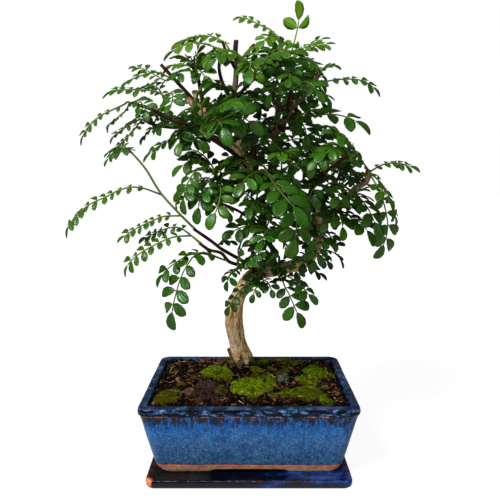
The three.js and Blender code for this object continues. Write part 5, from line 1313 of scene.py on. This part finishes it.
# The soil's mesh and what lies loose on it.
SOIL_RINGS = 46
CRUMB_COUNT = 4200
LUMP_COUNT = 70
CHIP_COUNT = 240
FIBRE_COUNT = 75
CHIP_OUTLINE = ((-1, -0.5), (-0.3, -0.9), (0.7, -0.8), (1, 0.1), (0.5, 0.9), (-0.6, 0.8))

# Moss cushions: node, centre, half length, half width, height, turn in degrees, and how green it is.
MOSS = [
    ("moss_front", 2, -22, 24, 19, 6, 20, 1.0),
    ("moss_left", -33, 10, 17, 12, 6, -20, 0.95),
    ("moss_corner", -77, -44, 12, 15, 4, 0, 0.5),
    ("moss_back_right", 40, 50, 19, 9, 4, 0, 0.7),
    ("moss_right", 68, 18, 14, 18, 5, 10, 0.75),
    ("moss_front_right", 50, -36, 20, 14, 5, -10, 0.6),
]
MOSS_SIDES = 11
# The rings of a cushion and of a small clump, from the skirt in the soil to the middle.
MOSS_SHARES = (1.03, 1, 0.93, 0.85, 0.76, 0.66, 0.56, 0.46, 0.36, 0.26, 0.16, 0.06)
CLUMP_SHARES = (1.03, 0.95, 0.7, 0.4, 0.1)
TUFTS_PER_MM2 = 2.6
THIRDS = (0, 2.09, 4.19)
# Small clumps strewn between the cushions: how many, where from and to in x and y, and how green.
MOSS_SCATTER = ((30, (12, 88), (-60, 60), 0.8), (7, (-88, -20), (-60, 55), 0.5),
                (8, (-24, 12), (-40, 20), 0.9))

# Coarse scoria grains that lie round the purple stone: how many, their middle and their spread.
GRAINS = (170, (-41, -36), (10, 11))

# Stones on the soil: node, centre, half sizes, how far the middle stands above the soil, and the seed.
STONES = [
    ("stone_grey", 34, -3, 6.5, 5.5, 5, 1.5, 3),
    ("stone_purple", -41, -20, 13, 10, 5, 1, 5),
    ("stone_brown", -56, -36, 6, 5, 4.5, 1.5, 8),
]


def soil_height(x, y):
    """The soil's surface: level at the edge, mounded to the trunk, with shallow waves."""
    distance = math.hypot(x - MOUND["x"], (y - MOUND["y"]) * MOUND["stretch"])
    mound = MOUND["height"] * math.exp(-(distance / MOUND["spread"]) ** 2)
    edge_x = min(1, (SOIL_HALF[0] - abs(x)) / SOIL_SHOULDER)
    edge_y = min(1, (SOIL_HALF[1] - abs(y)) / SOIL_SHOULDER)
    crumbs = math.sin(x * 0.31 + 1) * math.cos(y * 0.37) + 0.6 * math.sin(x * 0.13 - y * 0.21)
    return RIM_TOP - SOIL_EDGE_BELOW_RIM + max(0, min(edge_x, edge_y)) * (1.5 + mound) + crumbs * 0.6


def soil_body(skin):
    """The bed of soil: rings from the pot's wall in to the mound, and a plain side below them."""
    edge = rounded_rectangle(SOIL_HALF[0] - 0.8, SOIL_HALF[1] - 0.8, 5, 0, 4, (70, 50))
    rings = [[(p[0] * 0.985, p[1] * 0.98, POT_FLOOR + 40) for p in edge]]
    for k in range(SOIL_RINGS):
        scale = 1 - k / SOIL_RINGS * 0.985
        ring = []
        for p in edge:
            x, y = p[0] * scale + MOUND["x"] * (1 - scale), p[1] * scale + MOUND["y"] * (1 - scale)
            grain = noise.fractal(Vector((x * 0.16, y * 0.16, 0)), 0.8, 2.2, 4)
            ring.append((x, y, soil_height(x, y) + 1.1 * grain - 0.3))
        rings.append(ring)
    loft(skin, rings)


def ico():
    """The points and faces of an icosahedron with unit radius."""
    g = (1 + math.sqrt(5)) / 2
    corners = [(-1, g, 0), (1, g, 0), (-1, -g, 0), (1, -g, 0), (0, -1, g), (0, 1, g), (0, -1, -g), (0, 1, -g),
               (g, 0, -1), (g, 0, 1), (-g, 0, -1), (-g, 0, 1)]
    faces = [(0, 11, 5), (0, 5, 1), (0, 1, 7), (0, 7, 10), (0, 10, 11), (1, 5, 9), (5, 11, 4),
             (11, 10, 2), (10, 7, 6), (7, 1, 8), (3, 9, 4), (3, 4, 2), (3, 2, 6), (3, 6, 8), (3, 8, 9),
             (4, 9, 5), (2, 4, 11), (6, 2, 10), (8, 6, 7), (9, 8, 1)]
    return unit(np.array(corners, float)), faces


def finer(points, faces):
    """The ball with each face split in four."""
    points, cache, out = [tuple(p) for p in points], {}, []

    def middle(a, b):
        key = (min(a, b), max(a, b))
        if key not in cache:
            cache[key] = len(points)
            points.append(tuple(unit(np.array(points[a]) + np.array(points[b]))))
        return cache[key]
    for a, b, c in faces:
        ab, bc, ca = middle(a, b), middle(b, c), middle(c, a)
        out += [(a, ab, ca), (b, bc, ab), (c, ca, bc), (ab, bc, ca)]
    return np.array(points), out


BALL = ico()
FINE_BALL = finer(*BALL)
FINEST_BALL = finer(*finer(*FINE_BALL))


def inside_pot(x, y, margin):
    return abs(x) < SOIL_HALF[0] - margin and abs(y) < SOIL_HALF[1] - margin


def spots(draw, count):
    """So many places on the soil, each drawn when its turn comes."""
    half_x, half_y = (half - 1.5 for half in SOIL_HALF)
    for _ in range(count):
        yield draw.uniform(-half_x, half_x), draw.uniform(-half_y, half_y)


def own_tone(draw):
    return draw.random(), draw.random(), 0.5, 0.5


def turned(draw):
    """A random turn as three perpendicular directions."""
    a = unit(np.array([draw.gauss(0, 1) for _ in range(3)]))
    b = unit(np.cross(a, [draw.gauss(0, 1) for _ in range(3)]))
    return a, b, np.cross(a, b)


def add_crumb(skin, draw, x, y, radius, slot, ball=BALL, flat=1.0, lift=0.3):
    """An uneven grain that lies on the soil, turned at random."""
    points, faces = ball
    swell = np.array([1 + 0.35 * draw.uniform(-1, 1) for _ in points])[:, None]
    a, b, c = turned(draw)
    p = points * swell * radius * np.array([1, draw.uniform(0.6, 1), draw.uniform(0.5, 0.9) * flat])
    p = np.outer(p[:, 0], a) + np.outer(p[:, 1], b) + np.outer(p[:, 2], c)
    p += (x, y, soil_height(x, y) + lift * radius)
    skin.add(p, faces, slot, own_tone(draw))


def add_chip(skin, draw, x, y):
    """A flat bark chip lying at a slant."""
    length, breadth, thick = draw.uniform(3, 7), draw.uniform(1.2, 3), draw.uniform(0.4, 1)
    turn, tilt = draw.uniform(0, math.pi), draw.uniform(-0.35, 0.35)
    out = np.array([math.cos(turn) * math.cos(tilt), math.sin(turn) * math.cos(tilt), math.sin(tilt)])
    across = np.array([-math.sin(turn), math.cos(turn), 0])
    up = np.cross(out, across)
    middle = np.array([x, y, soil_height(x, y) + 0.9])
    outline = [(u * draw.uniform(0.8, 1.1), v * draw.uniform(0.8, 1.1)) for u, v in CHIP_OUTLINE]
    rings = [[middle + out * u * length / 2 + across * v * breadth / 2 + up * w * thick / 2
              for u, v in outline] for w in (-1, 1)]
    loft(skin, rings, 1, own_tone(draw))


def add_fibre(skin, draw, x, y):
    """A dry root or stem that lies on the soil in a loose curl."""
    turn, bend = draw.uniform(0, 2 * math.pi), draw.uniform(-0.5, 0.5)
    path = []
    for k in range(6):
        z = soil_height(x, y) + 1.1 + 1.6 * math.sin(k * 1.3) ** 2 * draw.random()
        path.append((x, y, min(z, RIM_TOP + 12)))
        turn += bend + draw.uniform(-0.3, 0.3)
        step = draw.uniform(1.5, 3.2)
        x, y = x + step * math.cos(turn), y + step * math.sin(turn)
        if not inside_pot(x, y, 3):
            break
    if len(path) > 2:
        add_tube(skin, path, draw.uniform(0.2, 0.45), 0.12, 4, 9, 0, own_tone(draw))


def soil_pieces():
    """The bed of soil with its crumbs, lumps, bark chips and fibres."""
    draw = random.Random(SEEDS["soil"])
    body, crumbs, fibres = Skin(), Skin(), Skin()
    soil_body(body)
    dressed(body.build("soil_bed", [SOIL]), "soil", "soil")
    for x, y in spots(draw, CRUMB_COUNT):
        radius = min(2.2, 0.5 * math.exp(draw.gauss(0.3, 0.45)))
        if inside_pot(x, y, radius + 0.6):
            add_crumb(crumbs, draw, x, y, radius, draw.choice((0, 0, 0, 1)))
    for x, y in spots(draw, LUMP_COUNT):
        radius = draw.uniform(1.8, 3.6)
        if inside_pot(x, y, radius + 1):
            slot = draw.choice((0, 1, 1))
            add_crumb(crumbs, draw, x, y, radius, slot, FINE_BALL, flat=draw.uniform(0.35, 0.8))
    for x, y in spots(draw, CHIP_COUNT):
        if inside_pot(x, y, 6):
            add_chip(crumbs, draw, x, y)
    dressed(crumbs.build("soil_crumbs", [CRUMB, CHIP], smooth=False), "soil", "soil")
    for x, y in spots(draw, FIBRE_COUNT):
        if inside_pot(x, y, 9):
            add_fibre(fibres, draw, x, y)
    dressed(fibres.build("dry_fibres", [FIBRE]), "soil", "soil")


def add_moss(skin, number, middle, half, height, turn, green, edge, sides, shares):
    """A cushion of rounded clumps with a ragged edge and a pile of tiny leafy stems standing out of it."""
    draw = random.Random(SEEDS["moss"] + number)

    def surface(angle, share):
        ragged = 1 + 0.3 * noise.noise(Vector((3 * math.cos(angle), 3 * math.sin(angle), number))) * share
        u = half[0] * edge(angle) * ragged * share * math.cos(angle)
        v = half[1] * edge(angle) * ragged * share * math.sin(angle)
        x = middle[0] + u * math.cos(turn) - v * math.sin(turn)
        y = middle[1] + u * math.sin(turn) + v * math.cos(turn)
        clump = 1 - noise.voronoi(Vector((x * 0.2, y * 0.2, number)))[0][0] * 1.5
        dome = 0.75 * math.sqrt(max(0, 1 - share ** 3))
        z = soil_height(x, y) + height * dome * (0.5 + 0.65 * clump) - 0.8 * share ** 4
        return np.array([x, y, z])

    skirt = np.array([0, 0, 3])
    turns = [2 * math.pi * j / sides for j in range(sides)]
    loft(skin, [[surface(t, share) - (skirt if share > 1 else 0) for t in turns] for share in shares])
    for _ in range(int(math.pi * half[0] * half[1] * TUFTS_PER_MM2)):
        angle, share = draw.uniform(0, 2 * math.pi), math.sqrt(draw.random()) * 1.06
        spot = surface(angle, min(share, 1))
        if inside_pot(spot[0], spot[1], 1.5):
            add_tuft(skin, draw, spot, angle + turn, share, green)


def add_tuft(skin, draw, spot, way, share, green):
    """A tiny stem with three sides and a point, leaning out the more, the nearer it is to the edge."""
    lean = unit(np.array([math.cos(way) * share * 0.5 + draw.gauss(0, 0.4),
                          math.sin(way) * share * 0.5 + draw.gauss(0, 0.4), 1]))
    across = unit(np.cross(lean, [draw.gauss(0, 1), draw.gauss(0, 1), 0.1]))
    other = np.cross(lean, across)
    length, radius = draw.uniform(0.8, 2.4), draw.uniform(0.16, 0.32)
    points = [spot - lean * 0.3 + radius * (math.cos(q) * across + math.sin(q) * other) for q in THIRDS]
    own = draw.random()
    tones = [(own, green, 0, 0.5)] * 3 + [(own, green, min(1, length / 1.8), 0.5)]
    skin.add([*points, spot + lean * length], [(0, 1, 3), (1, 2, 3), (2, 0, 3), (2, 1, 0)], 1, tones)


def moss_piece(row, number):
    """The fine cushion that stands for a node: the same wobbly outline, drawn from the same seed."""
    name, x, y, a, b, height, turn, green = row
    draw = seeded(SEEDS["outlines"] + number)
    wobble = [0.82 + 0.3 * draw() for _ in range(MOSS_SIDES)] * 2

    def edge(angle):
        k = angle / (2 * math.pi) * MOSS_SIDES
        i = int(k) % MOSS_SIDES
        return wobble[i] + (wobble[i + 1] - wobble[i]) * (k - int(k))

    skin = Skin()
    add_moss(skin, number, (x, y), (a, b), height, math.radians(turn), green, edge, 60, MOSS_SHARES)
    return dressed(skin.build(f"{name}_tufts", [MOSS_BED, MOSS_TUFT]), "moss", name)


def moss_scatter():
    """The small clumps between the cushions."""
    draw = random.Random(SEEDS["scatter"])
    skin = Skin()
    for count, across, deep, green in MOSS_SCATTER:
        for k in range(count):
            x, y, size = draw.uniform(*across), draw.uniform(*deep), draw.uniform(2.5, 7.5)
            if inside_pot(x, y, size):
                half, height = (size, size * draw.uniform(0.6, 1)), draw.uniform(1.4, 3.6)
                turn, own = draw.uniform(0, 3), green * draw.uniform(0.5, 1.15)
                add_moss(skin, 20 + k, (x, y), half, height, turn, own, lambda angle: 1, 16, CLUMP_SHARES)
    dressed(skin.build("moss_scatter", [MOSS_BED, MOSS_TUFT]), "moss")


def scoria_grains():
    """The coarse grains that lie round the purple stone."""
    draw = random.Random(SEEDS["grains"])
    skin = Skin()
    count, middle, spread = GRAINS
    for _ in range(count):
        x, y = draw.gauss(middle[0], spread[0]), draw.gauss(middle[1], spread[1])
        radius = draw.uniform(0.9, 2.6)
        if inside_pot(x, y, radius + 0.6):
            add_crumb(skin, draw, x, y, radius, 0, lift=0.75)
    dressed(skin.build("scoria_grains", [STONES_BY_NAME["stone_purple"]], smooth=False), "stone_purple")


def stone_piece(row):
    name, x, y, a, b, height, lift, seed = row
    points, faces = FINEST_BALL
    out = []
    for p in points:
        lump = noise.fractal(Vector(p) * 1.4 + Vector((seed, 0, 0)), 0.9, 2.0, 4)
        crack = noise.voronoi(Vector(p) * 2.1 + Vector((seed, 5, 0)))[0][0]
        out.append(np.array(p) * (0.86 + 0.22 * lump + 0.12 * crack) * (a, b, height))
    skin = Skin()
    skin.add(np.array(out) + (x, y, soil_height(x, y) + lift), faces)
    return dressed(skin.build(f"{name}_surface", [STONES_BY_NAME[name]]), name, name)


WHITE = (1, 1, 1, 1)
SURROUND = (0.03, 0.2)
# The floor's half width and drop in metres, its shade to light and to the camera, and how it glows there.
FLOOR_HALF = 8.0
FLOOR_DROP = 0.0002
FLOOR_SHADE = 0.5
FLOOR_SEEN = 0.12
FLOOR_GLOW = 0.93
# The lights: name, heading, rise and softness in degrees, and power.
SUNS = (("key", 225, 44, 22, 4.0), ("fill", 300, 35, 60, 0.6))
GAMMA = 0.92


def set_camera():
    lens = bpy.data.cameras.new("camera")
    lens.sensor_width, lens.lens = SENSOR_MM, SENSOR_MM * FOCAL / PICTURE
    lens.clip_start, lens.clip_end = NEAREST, FARTHEST
    camera = bpy.data.objects.new("camera", lens)
    camera.location = Vector(EYE) * MM
    camera.rotation_euler = (math.radians(90 - PITCH), 0, 0)
    bpy.context.scene.collection.objects.link(camera)
    bpy.context.scene.camera = camera


def set_world():
    """Surroundings that light the part more from overhead, and that the camera sees as plain white."""
    world = bpy.data.worlds.new("studio")
    world.use_nodes = True
    tree = Tree(world.node_tree)
    way = tree.node("ShaderNodeTexCoord").outputs["Generated"]
    height = tree.node("ShaderNodeSeparateXYZ", {0: way}).outputs["Z"]
    fade = tree.node("ShaderNodeMapRange", {"Value": height, "From Min": 0.0, "From Max": 0.9,
                                            "To Min": SURROUND[0], "To Max": SURROUND[1]})
    glow = tree.nodes["Background"]
    glow.inputs["Color"].default_value = WHITE
    tree.links.new(fade.outputs["Result"], glow.inputs["Strength"])
    seen = tree.node("ShaderNodeBackground", {"Color": WHITE})
    choose, ray = tree.node("ShaderNodeMixShader"), tree.node("ShaderNodeLightPath")
    for k, value in enumerate((ray.outputs["Is Camera Ray"], glow.outputs[0], seen.outputs[0])):
        tree.links.new(value, choose.inputs[k])
    tree.links.new(choose.outputs[0], tree.nodes["World Output"].inputs["Surface"])
    bpy.context.scene.world = world


def sun(name, heading, rise, softness, power):
    lamp = bpy.data.lights.new(name, "SUN")
    lamp.angle, lamp.energy = math.radians(softness), power
    light = bpy.data.objects.new(name, lamp)
    light.rotation_euler = Vector(-direction(heading, rise)).to_track_quat("-Z", "Y").to_euler()
    bpy.context.scene.collection.objects.link(light)


def set_floor():
    """A pale floor that looks brighter than it is, so that its far edge melts into the surroundings."""
    mesh = bpy.data.meshes.new("floor")
    corners = ((-1, -1), (1, -1), (1, 1), (-1, 1))
    mesh.from_pydata([(x * FLOOR_HALF, y * FLOOR_HALF, 0) for x, y in corners], [], [(0, 1, 2, 3)])
    floor = bpy.data.objects.new("floor", mesh)
    floor.location.z = -FLOOR_DROP
    f = Finish("pale_floor", 0.8, 0.1)
    seen = f.node("ShaderNodeLightPath").outputs["Is Camera Ray"]
    f.feed(Base_Color=f.mix(seen, (FLOOR_SHADE,) * 3 + (1,), (FLOOR_SEEN,) * 3 + (1,)))
    f.shader.inputs["Emission Color"].default_value = WHITE
    f.feed(Emission_Strength=f.times(seen, FLOOR_GLOW))
    mesh.materials.append(f.material)
    bpy.context.scene.collection.objects.link(floor)


set_camera()
set_world()
set_floor()
for lamp_row in SUNS:
    sun(*lamp_row)
view = bpy.context.scene.view_settings
view.view_transform, view.look, view.exposure, view.gamma = "Standard", "None", 0, GAMMA
sprays, taken = all_sprays()
for number, spray in enumerate(sprays):
    spray_piece(spray, number)
shoots_piece(taken)
wood_pieces()
pot_piece()
saucer_piece()
soil_pieces()
for number, row in enumerate(MOSS):
    moss_piece(row, number)
moss_scatter()
scoria_grains()
for row in STONES:
    stone_piece(row)
for name in ("drain_mesh_left", "drain_mesh_right"):
    mesh = bpy.data.objects[name].data
    mesh.materials.clear()
    mesh.materials.append(MESH_PLASTIC)
